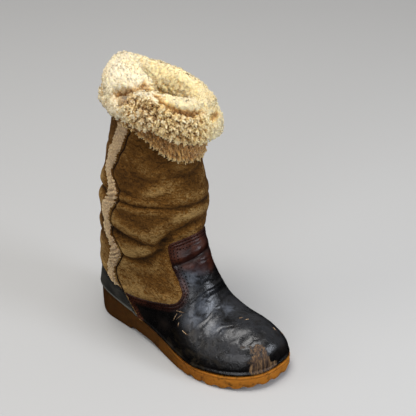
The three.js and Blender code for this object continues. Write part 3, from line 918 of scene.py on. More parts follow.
def welded(params, faces):
    """The same mesh with points at one place joined."""
    keys = np.round(lasted(params)[0], 3)
    _, first, at = np.unique(keys, axis=0, return_index=True, return_inverse=True)
    faces = at.ravel()[faces]
    a, b, c = faces.T
    return params[first], faces[(a != b) & (b != c) & (c != a)]


def overlay_grid(at_rows, turns):
    grid = np.stack([v.ravel() for v in np.meshgrid(at_rows, turns, indexing="ij")], 1)
    return grid, triangles(grid_faces(len(at_rows), len(turns)))


toe_first = [-1, -0.75, -0.5, -0.25]
vamp_steps, vamp_columns, vamp_top_row = 250, 241, toe_sections + 7
vamp_rows = np.concatenate([toe_first, np.linspace(0, 1, vamp_steps) ** 0.93 * vamp_top_row])
params, faces = overlay_grid(vamp_rows, np.linspace(-0.5, 0.5, vamp_columns))


def overlay_field(params, edge):
    """How far inside the edge and above the sole the points are."""
    points, normals = lasted(params)
    over_sole = points[:, 2] - sole_top(points[:, 0]) - lay_gap
    return np.minimum(from_edge_of(points, normals, edge), over_sole)


params, faces = welded(*trim(params, faces, overlay_field(params, vamp_edge)))
base, vamp_normals = lasted(params)
edge_distance = np.maximum(from_edge_of(base, vamp_normals, vamp_edge), 0)
over_sole = base[:, 2] - sole_top(base[:, 0])

# The dents and creases, each as points on the vamp. Then its depth and half-width, and how far the
# leather bulges on its upper and its lower side.
vamp_creases = [
    (
        [
            (2, -30, 114), (9.7, -30.5, 120.3), (13.2, -28.1, 123), (18.6, -24.3, 126),
            (24.5, -18.5, 129), (28, -12.2, 131.9), (30.1, -4.3, 134.4), (29.4, 4.8, 135.6),
            (25, 16, 134), (14, 28, 128),
        ],
        2.8, 3.0, 1.9, 0.6,
    ),
    (
        [
            (36, 30, 84), (43, 20, 91), (45.2, 9.1, 93), (46.1, 1.4, 93), (45.9, -3.9, 93),
            (44.9, -12.5, 91.6), (43.5, -19.5, 88.5), (42, -24.7, 85.2), (40.8, -28.1, 82.1),
            (41.5, -31.1, 76.5), (42.5, -34.8, 70.7), (44, -37.3, 65.7),
        ],
        2.2, 1.2, 1.2, 0.8, 0.08,
    ),
    (
        [(11.8, -23.6, 146.1), (15.5, -20.2, 147.1), (19, -15.5, 148.1), (22.7, -9.7, 148.9)], 0.8, 1.0,
        0.3, 0.1,
    ),
    (
        [
            (106.8, -22.6, 53.6), (109.6, -17.2, 55.5), (112.1, -11.5, 57.2), (113.8, -6.5, 58.2),
            (115.9, -0.4, 58.8), (116.5, 7.5, 59), (115.3, 15.8, 58.2),
        ],
        2.0, 7.0, 0.5, 0.5,
    ),
    (
        [
            (96.3, 17.7, 62.2), (102.7, 17.6, 61), (110.5, 17.6, 59.2), (115.2, 21.1, 56.8),
            (118.8, 24, 54.1),
        ],
        -0.8, 3.4, 0, 0,
    ),
    ([(56, 36, 62), (66, 32, 62), (75, 28, 62), (84, 22, 63)], 0.7, 3.4, 0.4, 0.4),
]
# Fine flex wrinkles, from (row, turn) to (row, turn) on the last, wandering a little: across the joint
# of the foot, and short ones over the toe. Then their depth.
fine_wrinkles = [
    ((7.3, -0.1), (7.15, 0.13), 0.7), ((6.95, -0.14), (6.85, 0.04), 0.6), ((6.65, -0.03), (6.6, 0.17), 0.7),
    ((8.0, -0.09), (8.05, 0.08), 0.6), ((6.3, -0.11), (6.35, 0.06), 0.6), ((7.75, 0.04), (7.5, 0.17), 0.5),
    ((8.4, -0.1), (8.3, 0.03), 0.5), ((6.1, 0.05), (6.0, 0.19), 0.6), ((5.6, -0.06), (5.7, 0.04), 0.5),
    ((7.1, 0.11), (6.6, 0.2), 0.6), ((5.2, 0.02), (5.5, 0.12), 0.5), ((4.8, -0.08), (4.9, 0.03), 0.5),
    ((9.1, -0.07), (9.2, 0.09), 0.5), ((10.3, -0.03), (10.4, 0.1), 0.5), ((6.5, 0.2), (6.9, 0.24), 0.5),
    ((4.3, 0.04), (4.6, 0.14), 0.4), ((3.9, -0.1), (4.0, 0.0), 0.5), ((3.2, 0.02), (3.3, 0.1), 0.4),
    ((6.8, 0.02), (7.2, 0.06), 0.4), ((6.0, -0.03), (6.4, 0.02), 0.4), ((5.9, 0.1), (6.3, 0.14), 0.4),
]
hollow = lumpy(base, (0.9, 36, 21), (0.42, 17, 22), (0.13, 7, 23))
crease_shade = np.zeros(len(base))
for k, (start, end, deep) in enumerate(fine_wrinkles):
    share = np.linspace(0, 1, 40)
    row, turn = (start[j] + (end[j] - start[j]) * share for j in (0, 1))
    row = row + 0.13 * np.sin(share * 5.1 + k) + 0.06 * np.sin(share * 13.7 + 2 * k)
    moved, inside = crease(base, form(row, turn)[0], 0.6 * deep, 1.3 + 0.3 * math.sin(k), 0.2, 0.15, 0.4)
    hollow += moved
    crease_shade = np.maximum(crease_shade, inside * 0.55)
for corners, *facts in vamp_creases:
    moved, inside = crease(base, curve(corners, 10 * len(corners)), *facts)
    hollow += moved
    if facts[0] > 0:
        crease_shade = np.maximum(crease_shade, inside * min(1, facts[0] / 2.5))
free = np.clip(edge_distance / 9, 0, 1) * np.clip((over_sole - 2) / 12, 0, 1)
hollow = hollow * free

# The edge is skived, so it rounds off, and a row of stitches pulls it down in a shallow groove. At the
# sole the leather is lasted under over a small roll.
stitch_rows = (3.6, 7.2)


def overlay_height(edge_distance, over_sole, hollow, lip=1.0):
    """How high the leather's outside and its inside lie over the hide."""
    near = np.minimum(edge_distance, np.maximum(over_sole - lay_gap, 0))
    rounded = np.sqrt(1 - (1 - np.clip(near / edge_round, 0.03, 1)) ** 2)
    groove = sum(mound(edge_distance, row, 0.8) for row in stitch_rows)
    roll = lip * (1.1 * mound(over_sole, 3.2, 1.7) - 0.5 * mound(over_sole, 6.4, 1.5))
    between = 0.45 * mound(edge_distance, 5.4, 1.0) + 0.35 * mound(edge_distance, 1.6, 1.0)
    outside = lay_gap + leather * rounded + hollow - 0.6 * groove + between + roll
    return outside, outside - np.maximum(leather * rounded, 0.4)


outside, inside = overlay_height(edge_distance, over_sole, hollow)
vamp_outer, vamp_inner = (base + vamp_normals * v[:, None] for v in (outside, inside))
vamp_points, vamp_faces = closed_sheet(vamp_outer, vamp_inner, faces)

# Where it is scuffed through to the brown: across the toe's outer front, and small nicks elsewhere.
toe_centre = (85, 5)
on_toe = base[:, 0] > toe_centre[0]
toe_angle = np.degrees(np.arctan2(base[:, 1] - toe_centre[1], base[:, 0] - toe_centre[0]))
torn_angle = toe_angle + 11 * lattice_noise(base, 8, 34)
torn_z = base[:, 2] + 7 * lattice_noise(base, 6, 35)
patch = smooth_step((torn_angle + 52) / 26) * smooth_step((10 - torn_angle) / 26)
patch = patch * (0.9 + 0.24 * lattice_noise(base * (1, 1, 0.5), 8, 32))
patch *= smooth_step((59 - torn_z) / 13) * smooth_step((base[:, 2] - 15) / 12) * on_toe
scraped = smooth_step((toe_angle + 60) / 20) * smooth_step((75 - toe_angle) / 30) * on_toe
scraped *= 0.42 * mound(base[:, 2], 50, 5) * (0.6 + 0.8 * lattice_noise(base, 7, 31))
nicks = [
    ((23.0, -40.2, 70.0), (35.0, -37.4, 71.8), 0.7), ((26.5, -40.6, 69.0), (22.6, -44.0, 57.0), 0.7),
    ((31.5, -43.6, 59.4), (31.2, -45.0, 54.6), 0.9), ((38.0, -46.2, 53.0), (48.8, -45.6, 50.6), 0.9),
    ((32.6, -39.4, 68.6), (26.0, -42.8, 61.0), 0.5), ((84.0, 2.0, 66.0), (86.4, 8.0, 65.6), 1.0),
    ((90.5, 6.6, 65.0), (93.0, 11.0, 64.0), 1.1), ((111.0, 27.0, 50.0), (117.0, 28.0, 48.2), 1.1),
    ((112.0, 36.0, 38.0), (118.0, 34.0, 35.0), 1.1), ((70.0, 48.0, 40.0), (78.0, 49.0, 36.0), 1.0),
    ((12.0, 22.0, 128.0), (17.0, 16.0, 131.0), 0.7),
]
nicked = np.zeros(len(base))
for start, end, wide in nicks:
    start, along = np.array(start), np.subtract(end, start)
    t = np.clip((base - start) @ along / (along @ along), 0, 1)
    off = np.linalg.norm(base - start - t[:, None] * along, axis=1)
    nicked = np.maximum(nicked, mound(off, 0, 4.5 * wide))
base_tree = tree_of(base)
flap_points, flap_faces = [], []
for start, end, wide in nicks:
    at = [base_tree.find(p)[1] for p in (start, end)]
    ends = vamp_outer[at]
    long = float(np.linalg.norm(ends[1] - ends[0]))
    places = (ends.mean(0)[None], unit(vamp_normals[at].mean(0))[None], unit(ends[1] - ends[0])[None])
    arched = 0.012 * long**1.5 * (long > 9)
    some, some_faces = stitches(places, long, 0.95 * wide, -0.12 - arched)
    flap_faces += [[v + 30 * len(flap_points) for v in face] for face in some_faces]
    flap_points.append(some)
bare = np.clip(np.maximum(patch, scraped), 0, 1)
mud = smooth_step((34 - over_sole) / 22) * smooth_step((base[:, 0] + 10) / 40)
mud *= smooth_step((112 - base[:, 0]) / 30)
red = smooth_step((base[:, 2] + 0.4 * base[:, 0] - 118) / 22)
# Painted sheen: a blue-grey highlight painted into the colour of the upward faces and of spots where the
# light glances off.
bloom = smooth_step((vamp_normals[:, 2] - 0.3) / 0.45) * smooth_step((edge_distance - 7) / 9) * (1 - bare)
bloom *= 0.13 - 0.07 * smooth_step((base[:, 2] - 112) / 25)
sheen_spots = {(30, -18, 108): 11, (49, -15, 76): 13, (46, -32, 66): 11, (72, -24, 62): 12, (64, 6, 68): 10}
for spot, wide in sheen_spots.items():
    away = np.linalg.norm(base - np.array(spot), axis=1) + 3 * lattice_noise(base, 9, 33)
    bloom = np.maximum(bloom, 0.8 * mound(np.maximum(away, 0), 0, wide))
worn = {
    "edge": edge_distance, "crease": crease_shade, "bare": bare, "nick": nicked, "mud": mud, "red": red,
    "bloom": bloom,
}

# Aniline side leather: dyed black on a red-brown hide that shows at the tab, the edges and the scuffs.
# Waxed once, now semi-gloss, with a fine pebble in it. A blue-grey sheen is painted into its colour as
# a highlight on the top of the foot. The pebble, 0.5 mm on the real leather, is drawn 1.6 mm wide and
# the pores 2.4 mm, so that they show.
blacks = new_material("Side leather, black, waxed and worn")
place = add(blacks, "TexCoord", out="Object")
masks = {key: add(blacks, "Attribute", out="Fac", attribute_name=key) for key in worn}
cloud = add(blacks, "TexNoise", Vector=place, Scale=34.0, Detail=6.0, Roughness=0.6)
fine = add(blacks, "TexNoise", Vector=place, Scale=420.0, Detail=4.0, Roughness=0.7)
black = add(blacks, "ValToRGB", Fac=cloud, stops=[
    (0.3, "#040404"), (0.5, "#080707"), (0.62, "#100d0c"), (0.75, "#1f1813")
])
brown = add(blacks, "ValToRGB", Fac=cloud, stops=[
    (0.3, "#170805"), (0.46, "#270f09"), (0.6, "#3e1c0e"), (0.75, "#5e321e")
])
# The leather between the rows of stitches stands up and is rubbed; the tab keeps its red-brown.
rubbed = add(
    blacks, "ValToRGB", Fac=add(blacks, "MapRange", Value=masks["edge"], From_Max=20.0),
    stops=[(0.0, 0.5), (0.08, 1.0), (0.17, 0.75), (0.26, 1.0), (0.38, 0.8), (0.55, 0.0)],
)
rubbed_cloudy = add(blacks, "Math", rubbed, fine, operation="MULTIPLY")
rubbed_most = add(blacks, "Math", rubbed_cloudy, 1.5, operation="MULTIPLY", use_clamp=True)
red_cloudy = add(blacks, "Math", cloud, 0.5, masks["red"], operation="MULTIPLY_ADD")
red_part = add(blacks, "MapRange", Value=red_cloudy, From_Min=0.42, From_Max=0.95)
to_brown = add(blacks, "Math", red_part, rubbed_most, operation="MAXIMUM")
dyed = add(blacks, "Mix", to_brown, black, brown, data_type="RGBA")
# A painted blue-grey highlight on the top of the foot, broken up by the wrinkles.
crackle = add(
    blacks, "TexNoise", Vector=place, Scale=105.0, Detail=6.0, Roughness=0.6, Offset=0.95, Gain=2.0,
    Distortion=0.5, noise_type="RIDGED_MULTIFRACTAL",
)
patchy = add(blacks, "Math", crackle, cloud, operation="MULTIPLY")
painted_sheen_cover = add(blacks, "MapRange", Value=patchy, From_Min=0.1, From_Max=0.7, To_Min=0.02, To_Max=0.34)
painted_sheen_part = add(blacks, "Math", masks["bloom"], painted_sheen_cover, operation="MULTIPLY")
sheen_painted = add(blacks, "Mix", painted_sheen_part, dyed, linear("#868d99"), data_type="RGBA")
# Dried mud in smears low on the forefoot, and upright scratches through the toe, drawn 1 mm wide so
# that they show.
smears = add(blacks, "TexNoise", Vector=place, Scale=75.0, Detail=6.0, Roughness=0.7, Distortion=0.5)
smeared = add(blacks, "MapRange", Value=smears, From_Min=0.48, From_Max=0.68, To_Max=0.55)
dust_cloud = add(blacks, "Math", masks["mud"], smeared, operation="MULTIPLY")
muddied = add(blacks, "Mix", dust_cloud, sheen_painted, linear("#332916"), data_type="RGBA")
upright = add(blacks, "Mapping", Vector=place, Scale=(1.0, 1.0, 0.1))
scratches = add(blacks, "TexNoise", Vector=upright, Scale=420.0, Detail=4.0, Roughness=0.75)
raw = add(blacks, "ValToRGB", Fac=scratches, stops=[
    (0.34, "#0e0805"), (0.44, "#322115"), (0.56, "#574027"), (0.7, "#886a45")
])
torn = add(blacks, "Math", scratches, 0.9, masks["bare"], operation="MULTIPLY_ADD")
bared = add(blacks, "MapRange", Value=torn, From_Min=1.02, From_Max=1.2)
scuffed = add(blacks, "Mix", bared, muddied, raw, data_type="RGBA")
nick_edge = add(blacks, "Math", smears, masks["nick"], operation="MULTIPLY")
nick_part = add(blacks, "MapRange", Value=nick_edge, From_Min=0.38, From_Max=0.6, To_Max=0.7)
all_worn = add(blacks, "Mix", nick_part, scuffed, linear("#5f4229"), data_type="RGBA")
# Painted shade darkens the creases.
crease_shaded = add(
    blacks, "Mix", add(blacks, "Math", masks["crease"], 0.85, operation="MULTIPLY"), all_worn,
    linear("#0a0808"), data_type="RGBA",
)
wear = add(blacks, "Math", bared, dust_cloud, operation="ADD", use_clamp=True)
gloss = add(blacks, "MapRange", Value=cloud, From_Min=0.3, From_Max=0.7, To_Min=0.06, To_Max=0.21)
fine_gloss = add(blacks, "Math", fine, 0.3, gloss, operation="MULTIPLY_ADD")
tab_gloss = add(blacks, "Math", red_part, 0.08, fine_gloss, operation="MULTIPLY_ADD")
dulled = add(blacks, "Math", wear, 0.35, tab_gloss, operation="MULTIPLY_ADD")
pebble = add(blacks, "TexVoronoi", Vector=place, Scale=620.0, feature="SMOOTH_F1")
pebbled = add(blacks, "Bump", Height=pebble, Strength=0.16, Distance=0.0004)
crackled = add(blacks, "Bump", Height=crackle, Strength=0.22, Distance=0.0005, Normal=pebbled)
wrinkle = add(blacks, "Bump", Height=fine, Strength=0.28, Distance=0.0006, Normal=crackled)
torn_up = add(blacks, "Bump", Height=bared, Strength=0.5, Distance=0.0005, Normal=wrinkle, invert=True)
shine = add(blacks, "MapRange", Value=red_part, To_Min=0.37, To_Max=0.22)
shader = add(
    blacks, "BsdfPrincipled", Base_Color=crease_shaded, Roughness=dulled, IOR=1.5, Specular_IOR_Level=shine,
    Normal=torn_up,
)
add(blacks, "OutputMaterial", Surface=shader)

on_both = {key: np.tile(values, 2) for key, values in worn.items()}
vamp = add_mesh("vamp", vamp_points, vamp_faces, blacks, **on_both)
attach(vamp, "root")
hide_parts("vamp")

# Cuts and scrapes have raised little tan flaps of the leather's flesh, matt and ragged, with shreds 1.4
# mm wide.
flesh = new_material("Leather flesh, torn, tan")
place = add(flesh, "TexCoord", out="Object")
shreds = add(flesh, "TexNoise", Vector=place, Scale=700.0, Detail=3.0)
tan_flesh = add(flesh, "ValToRGB", Fac=shreds, stops=[
    (0.35, "#4a3424"), (0.52, "#937656"), (0.66, "#cdb592")
])
ragged = add(flesh, "Bump", Height=shreds, Strength=0.8, Distance=0.0006)
shader = add(flesh, "BsdfPrincipled", Base_Color=tan_flesh, Roughness=0.9, Normal=ragged)
add(flesh, "OutputMaterial", Surface=shader)
flaps = add_mesh("vamp_nicks", np.concatenate(flap_points), flap_faces, flesh)
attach(flaps, "root")

# The stitches: waxed thread of 0.8 mm, three to the centimetre, in two rows along the edge, and a third
# row down the outer side of the tab from the end of the fold under its top. They are made 1.4 mm thick
# and 4 mm apart, so that each one shows.
thread = new_material("Waxed polyester thread, black-brown")
place = add(thread, "TexCoord", out="Object")
ply = add(
    thread, "TexWave", Vector=place, Scale=900.0, Distortion=2.0, out="Fac", bands_direction="DIAGONAL"
)
dark = add(thread, "ValToRGB", Fac=ply, stops=[(0.0, "#050303"), (1.0, "#160d0a")])
twist = add(thread, "Bump", Height=ply, Strength=0.3, Distance=0.0002)
shader = add(
    thread, "BsdfPrincipled", Base_Color=dark, Roughness=0.7, Specular_IOR_Level=0.08, Normal=twist
)
add(thread, "OutputMaterial", Surface=shader)


def sew(rows, faces, field, outer, normals, keep, pitch=4.0, length=2.7, thick=1.4, sink=-0.1):
    """Stitches along each level of field, where keep says so."""
    points, made = [], []
    for level in rows:
        for pairs, share in contour(faces, field, level):
            line = outer[pairs[:, 0]] * (1 - share) + outer[pairs[:, 1]] * share
            turned = normals[pairs[:, 0]] * (1 - share) + normals[pairs[:, 1]] * share
            places = evenly(line, turned, pitch)
            kept = keep(places[0], level)
            if kept.any():
                some, some_faces = stitches([p[kept] for p in places], length, thick, sink)
                made += [[v + sum(map(len, points)) for v in face] for face in some_faces]
                points.append(some)
    return np.concatenate(points), made


third_row, third_row_x, third_row_z = 11.6, 40, (99, 147)


def clear_of_sole(places, level):
    return places[:, 2] > sole_top(places[:, 0]) + stitch_clear


def on_edge(places, level):
    """As clear_of_sole, but for the third row, which is on the outer side of the tab only."""
    if level != third_row:
        return clear_of_sole(places, level)
    x, y, z = places.T
    return (y < 0) & (z > third_row_z[0]) & (z < third_row_z[1]) & (x < third_row_x)


thread_points, thread_faces = sew(
    (*stitch_rows, third_row), faces, edge_distance, vamp_outer, vamp_normals, on_edge
)
vamp_thread = add_mesh("vamp_stitches", thread_points, thread_faces, thread)
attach(vamp_thread, "root")


# ---- Heel counter ----
# Grey-black side leather over a stiffener, cut to stand up round the heel and meet the vamp in a closed
# seam. It is lasted and cemented like the vamp, dull from wear, with a pale band painted along the roll
# above the sole, partly as rubbing and partly as the roll's highlight.

counter_rows, counter_turns = np.linspace(8.2, 13.4, 150), np.linspace(0.14, 0.86, 250)
params, faces = overlay_grid(counter_rows, counter_turns)
params, faces = trim(params, faces, overlay_field(params, counter_edge))
base, counter_normals = lasted(params)
counter_distance = np.maximum(from_edge_of(base, counter_normals, counter_edge), 0)
over_sole = base[:, 2] - sole_top(base[:, 0])
hollow = lumpy(base, (0.7, 26, 41), (0.3, 11, 42))
hollow *= np.clip(counter_distance / 9, 0, 1) * np.clip((over_sole - 2) / 10, 0, 1)
hollow -= 1.6 * smooth_step(counter_distance / 8)
outside, inside = overlay_height(counter_distance, over_sole, hollow, 0.6)
counter_outer, counter_inner = (base + counter_normals * v[:, None] for v in (outside, inside))
counter_points, counter_faces = closed_sheet(counter_outer, counter_inner, faces)
roll_highlight_band = mound(over_sole, 3.0, 1.6)

# The same leather, dyed grey-black and never waxed: dull, painted pale along the roll above the sole,
# partly as rubbing and partly as a highlight, and brown-black at its cut edge. Its pebble and pores are
# drawn as coarse as the vamp's.
greys = new_material("Side leather, grey-black, dull")
place = add(greys, "TexCoord", out="Object")
edge_mask = add(greys, "Attribute", out="Fac", attribute_name="edge")
roll_highlight_mask = add(greys, "Attribute", out="Fac", attribute_name="rub")
cloud = add(greys, "TexNoise", Vector=place, Scale=40.0, Detail=6.0, Roughness=0.6)
fine = add(greys, "TexNoise", Vector=place, Scale=380.0, Detail=5.0, Roughness=0.7)
grey = add(greys, "ValToRGB", Fac=cloud, stops=[
    (0.3, "#1c1c1a"), (0.5, "#2d2c29"), (0.65, "#3b3934"), (0.8, "#4c4942")
])
roll_highlight_cloudy = add(greys, "Math", roll_highlight_mask, fine, operation="MULTIPLY")
highlit_grey = add(greys, "Mix", roll_highlight_cloudy, grey, linear("#7f817a"), data_type="RGBA")
edge_part = add(greys, "MapRange", Value=edge_mask, From_Min=0.2, From_Max=2.2, To_Min=0.85, To_Max=0.0)
edged = add(greys, "Mix", edge_part, highlit_grey, linear("#241a1b"), data_type="RGBA")
gloss = add(greys, "MapRange", Value=fine, To_Min=0.42, To_Max=0.66)
pebble = add(greys, "TexVoronoi", Vector=place, Scale=600.0, feature="SMOOTH_F1")
pebbled = add(greys, "Bump", Height=pebble, Strength=0.2, Distance=0.0004)
wrinkle = add(greys, "Bump", Height=fine, Strength=0.25, Distance=0.0005, Normal=pebbled)
shader = add(
    greys, "BsdfPrincipled", Base_Color=edged, Roughness=gloss, Specular_IOR_Level=0.16, Normal=wrinkle
)
add(greys, "OutputMaterial", Surface=shader)

on_both = {"edge": np.tile(counter_distance, 2), "rub": np.tile(roll_highlight_band, 2)}
counter = add_mesh("heel_counter", counter_points, counter_faces, greys, **on_both)
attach(counter, "root")
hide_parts("heel_counter")

thread_points, thread_faces = sew(
    (3.4,), faces, counter_distance, counter_outer, counter_normals, clear_of_sole
)
counter_thread = add_mesh("counter_stitches", thread_points, thread_faces, thread)
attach(counter_thread, "root")


# ---- Side seams ----
# The two halves of the shaft are sewn edge to edge with thick dark thread, drawn down between them so
# that it reads as one dark line. It is a cord of two twisted plies that lies in the groove.

hide_tree = tree_of(hide_base)


def lift_at(points):
    """How far the hide has moved out from the last near each point."""
    lifts = np.empty(len(points))
    for k, p in enumerate(points):
        near = hide_tree.find_n(p, 4)
        weight = np.array([1 / (n[2] + 0.3) for n in near])
        lifts[k] = (weight * hide_lift[[n[1] for n in near]]).sum() / weight.sum()
    return lifts


def twisted_cord(line, normals, radius, lay, sides=8):
    """A closed two-ply cord along a line. Its plies make one turn in each lay of length."""
    along = unit(np.gradient(line, axis=0))
    across = unit(np.cross(along, normals))
    angle = np.arange(sides) / sides * 2 * np.pi
    size = radius * (0.85 + 0.15 * np.cos(2 * (angle - 2 * np.pi * walked(line)[:, None] / lay)))
    size[[0, -1]] *= 0.3
    ring = across[:, None] * np.cos(angle)[:, None] + normals[:, None] * np.sin(angle)[:, None]
    points = (line[:, None] + ring * size[..., None]).reshape(-1, 3)
    faces = grid_faces(len(line), sides, round_columns=True).tolist()
    last = (len(line) - 1) * sides
    return points, faces + [list(range(sides))[::-1], [last + k for k in range(sides)]]


# Each seam: its line, its cord's radius, and how far that stands out of the hide.
cords = {"outer": (outer_seam, 1.6, 1.3), "inner": (inner_seam, 0.9, 0.2)}
for name, (seam_corners, radius, out) in cords.items():
    turn, z = curve(seam_corners, 36 * len(seam_corners)).T
    line, line_normals = form(shaft_at(z, turn), turn)
    line = line + line_normals * (lift_at(line) + out)[:, None]
    cord_points, cord_faces = twisted_cord(line, line_normals, radius, 3.0)
    seam_cord = add_mesh(f"seam_{name}", cord_points, cord_faces, thread)
    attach(seam_cord, "root")


# ---- Fleece strip ----
# A strip of shorn sheepskin, fleece out, let in behind the outer side seam from the collar to the
# counter. The slack shaft squeezes it, so it is gathered in ridges at the ankle. The pile is 3 mm of
# small, close curls.


def tufts(roots, lean_to, normals, length, radius, curl, seed, segments=3, sides=3):
    """Tapered curled locks of wool, one at each root: their points and faces, and for each point how far
    up its lock it is, and a number from 0 to 1 of the lock's own."""
    rng = np.random.RandomState(seed)
    count = len(roots)
    length = length * rng.uniform(0.75, 1.2, count)[:, None]
    direction = unit(normals + lean_to + 0.18 * rng.normal(size=(count, 3)))
    bend = unit(np.cross(direction, rng.normal(size=(count, 3))))
    bend = np.where((np.cross(bend, direction) * lean_to).sum(1, keepdims=True) < 0, -bend, bend)
    turn_each = curl * rng.uniform(0.6, 1.3, count)[:, None] / segments
    own = rng.uniform(size=count)
    side = unit(np.cross(direction, bend))
    centre = roots.copy()
    rings, ups = [], []
    for k in range(segments + 1):
        t = k / segments
        size = radius * (1 - 0.42 * t**2.5) * (0.8 + 0.4 * own)[:, None]
        around = np.arange(sides) / sides * 2 * np.pi + 0.5 * k
        ring = [centre + size * (bend * math.cos(a) + side * math.sin(a)) for a in around]
        rings.append(np.stack(ring, 1))
        ups.append(np.full((count, sides), t))
        centre = centre + direction * length / segments
        c, s = np.cos(turn_each), np.sin(turn_each)
        direction, side = direction * c + side * s, side * c - direction * s
    tip = centre - direction * length / segments * 0.85
    points = np.concatenate([*rings, tip[:, None]], 1)
    up = np.concatenate([*ups, np.ones((count, 1))], 1)
    each = triangles(grid_faces(segments + 1, sides, round_columns=True))[:, ::-1]
    top = segments * sides
    cap = np.array([[top + k, top + sides, top + (k + 1) % sides] for k in range(sides)])[:, ::-1]
    root = np.array([[0, k, k + 1] for k in range(1, sides - 1)])
    each = np.concatenate([each, cap, root])
    size = points.shape[1]
    faces = (each[None] + (np.arange(count) * size)[:, None, None]).reshape(-1, 3)
    return points.reshape(-1, 3), faces, up.ravel(), np.repeat(own, size)


def read_at(values, corners, weights):
    """The values at places in a mesh, from those of the three corners round each and their weights."""
    return (values[corners] * weights[..., None]).sum(1)


def scatter(points, faces, count, apart, seed):
    """Up to that many places over a triangle mesh, no two closer than apart, as corners and weights."""
    rng = np.random.RandomState(seed)
    a, b, c = points[faces.T]
    area = np.linalg.norm(np.cross(b - a, c - a), axis=1)
    picked = np.searchsorted(np.cumsum(area) / area.sum(), rng.uniform(size=count))
    picked = np.minimum(picked, len(faces) - 1)
    u, v = rng.uniform(size=(2, count))
    u, v = np.where(u + v > 1, 1 - u, u), np.where(u + v > 1, 1 - v, v)
    weights = np.stack([1 - u - v, u, v], 1)
    places = read_at(points, faces[picked], weights)
    cells, kept = {}, []
    for k, p in enumerate(places):
        key = tuple((p // apart).astype(int))
        around = itertools.product(*((v - 1, v, v + 1) for v in key))
        near = (j for cell in around for j in cells.get(cell, ()))
        if all(((places[j] - p) ** 2).sum() >= apart * apart for j in near):
            cells.setdefault(key, []).append(k)
            kept.append(k)
    return faces[picked[kept]], weights[kept]


def grid_normals(points, rows, columns, closed):
    """The normals of a grid of points, square to its rows and columns."""
    grid = points.reshape(rows, columns, 3)
    along = np.gradient(grid, axis=0)
    around = (np.roll(grid, -1, 1) - np.roll(grid, 1, 1)) if closed else np.gradient(grid, axis=1)
    return unit(np.cross(along, around)).reshape(-1, 3)


# Sheep's wool, undyed: matt, cream at the tips and honey at the roots, and light goes deep into it.
# Painted shade darkens it at the roots, between the locks and in the creases. Clean and yellower parts
# drift into each other over 45 mm. The fibres, of 0.03 mm, are drawn 1 mm wide, so that they show.
fleece = new_material("Sheep's fleece, cream, curled")
place = add(fleece, "TexCoord", out="Object")
tone_and_shade = add(fleece, "Attribute", out="Fac", attribute_name="up")
own_lock = add(fleece, "Attribute", out="Fac", attribute_name="own")
honey = add(fleece, "Attribute", out="Fac", attribute_name="honey")
drift = add(fleece, "TexNoise", Vector=place, Scale=22.0, Detail=4.0)
fibres = add(fleece, "TexNoise", Vector=place, Scale=900.0, Detail=3.0, Roughness=0.7)
own_part = add(fleece, "Math", own_lock, 0.16, -0.08, operation="MULTIPLY_ADD")
height = add(fleece, "Math", tone_and_shade, own_part, operation="ADD")
frayed = add(fleece, "Math", fibres, 0.12, height, operation="MULTIPLY_ADD")
cream = add(fleece, "ValToRGB", Fac=frayed, stops=[
    (0.1, "#79522e"), (0.35, "#a97b48"), (0.6, "#dcb57e"), (0.9, "#f8e6be")
])
gold = add(fleece, "ValToRGB", Fac=frayed, stops=[
    (0.1, "#6f4721"), (0.35, "#b58243"), (0.62, "#f3c77e"), (0.9, "#ffe4a6")
])
drifted = add(fleece, "MapRange", Value=drift, From_Min=0.35, From_Max=0.65, To_Min=-0.32, To_Max=0.32)
gold_part = add(fleece, "Math", honey, drifted, operation="ADD", use_clamp=True)
clean_wool = add(fleece, "Mix", gold_part, cream, gold, data_type="RGBA")
# Honey below nought greys the wool.
greying = add(fleece, "MapRange", Value=honey, From_Min=0.0, From_Max=-1.0)
wool = add(fleece, "Mix", greying, clean_wool, linear("#99917f"), data_type="RGBA")
crimp = add(fleece, "Bump", Height=fibres, Strength=0.3, Distance=0.0005)
shader = add(
    fleece, "BsdfPrincipled", Base_Color=wool, Roughness=0.95, Specular_IOR_Level=0.15,
    Subsurface_Weight=0.5, Subsurface_Radius=(1.0, 0.8, 0.5), Subsurface_Scale=0.004, Sheen_Weight=0.35,
    Sheen_Roughness=0.6, Sheen_Tint=linear("#ffe2ac"), Normal=crimp,
)
add(fleece, "OutputMaterial", Surface=shader)


def noise_ways(points, size, seed):
    return np.stack([lattice_noise(points, size, seed + k) for k in range(3)], 1)


def lock_cells(points, faces, spacing, seed):
    """The locks that wool gathers in: how domed it is at each point, and how deep between two locks."""
    seeds = read_at(points, *scatter(points, faces, int(len(faces) * 1.2), spacing * 0.8, seed))
    drawn_out = np.array([1, 1, 0.7])
    tree = tree_of(seeds * drawn_out)
    warp = noise_ways(points, 1.6 * spacing, seed + 3)
    asked = (points + 0.45 * spacing * warp) * drawn_out
    found = np.array([[n[2] for n in tree.find_n(p, 2)] for p in asked])
    dome = np.clip(1 - (found[:, 0] / (0.62 * spacing)) ** 2, 0, 1)
    between = mound(found[:, 1], found[:, 0], 0.3 * spacing)
    return dome, between


def point_normals(points, faces):
    """The normal at each point of a triangle mesh."""
    a, b, c = points[faces.T]
    square = np.cross(b - a, c - a)
    total = np.stack(
        [np.bincount(faces.ravel(), np.repeat(square[:, k], 3), len(points)) for k in range(3)], 1
    )
    return unit(total)


def turned_out(points, faces, ways):
    """The same faces, wound so that they look the way that their points are given."""
    a, b, c = points[faces.T]
    agree = (np.cross(b - a, c - a) * ways[faces[:, 0]]).sum()
    return faces if agree > 0 else faces[:, ::-1]


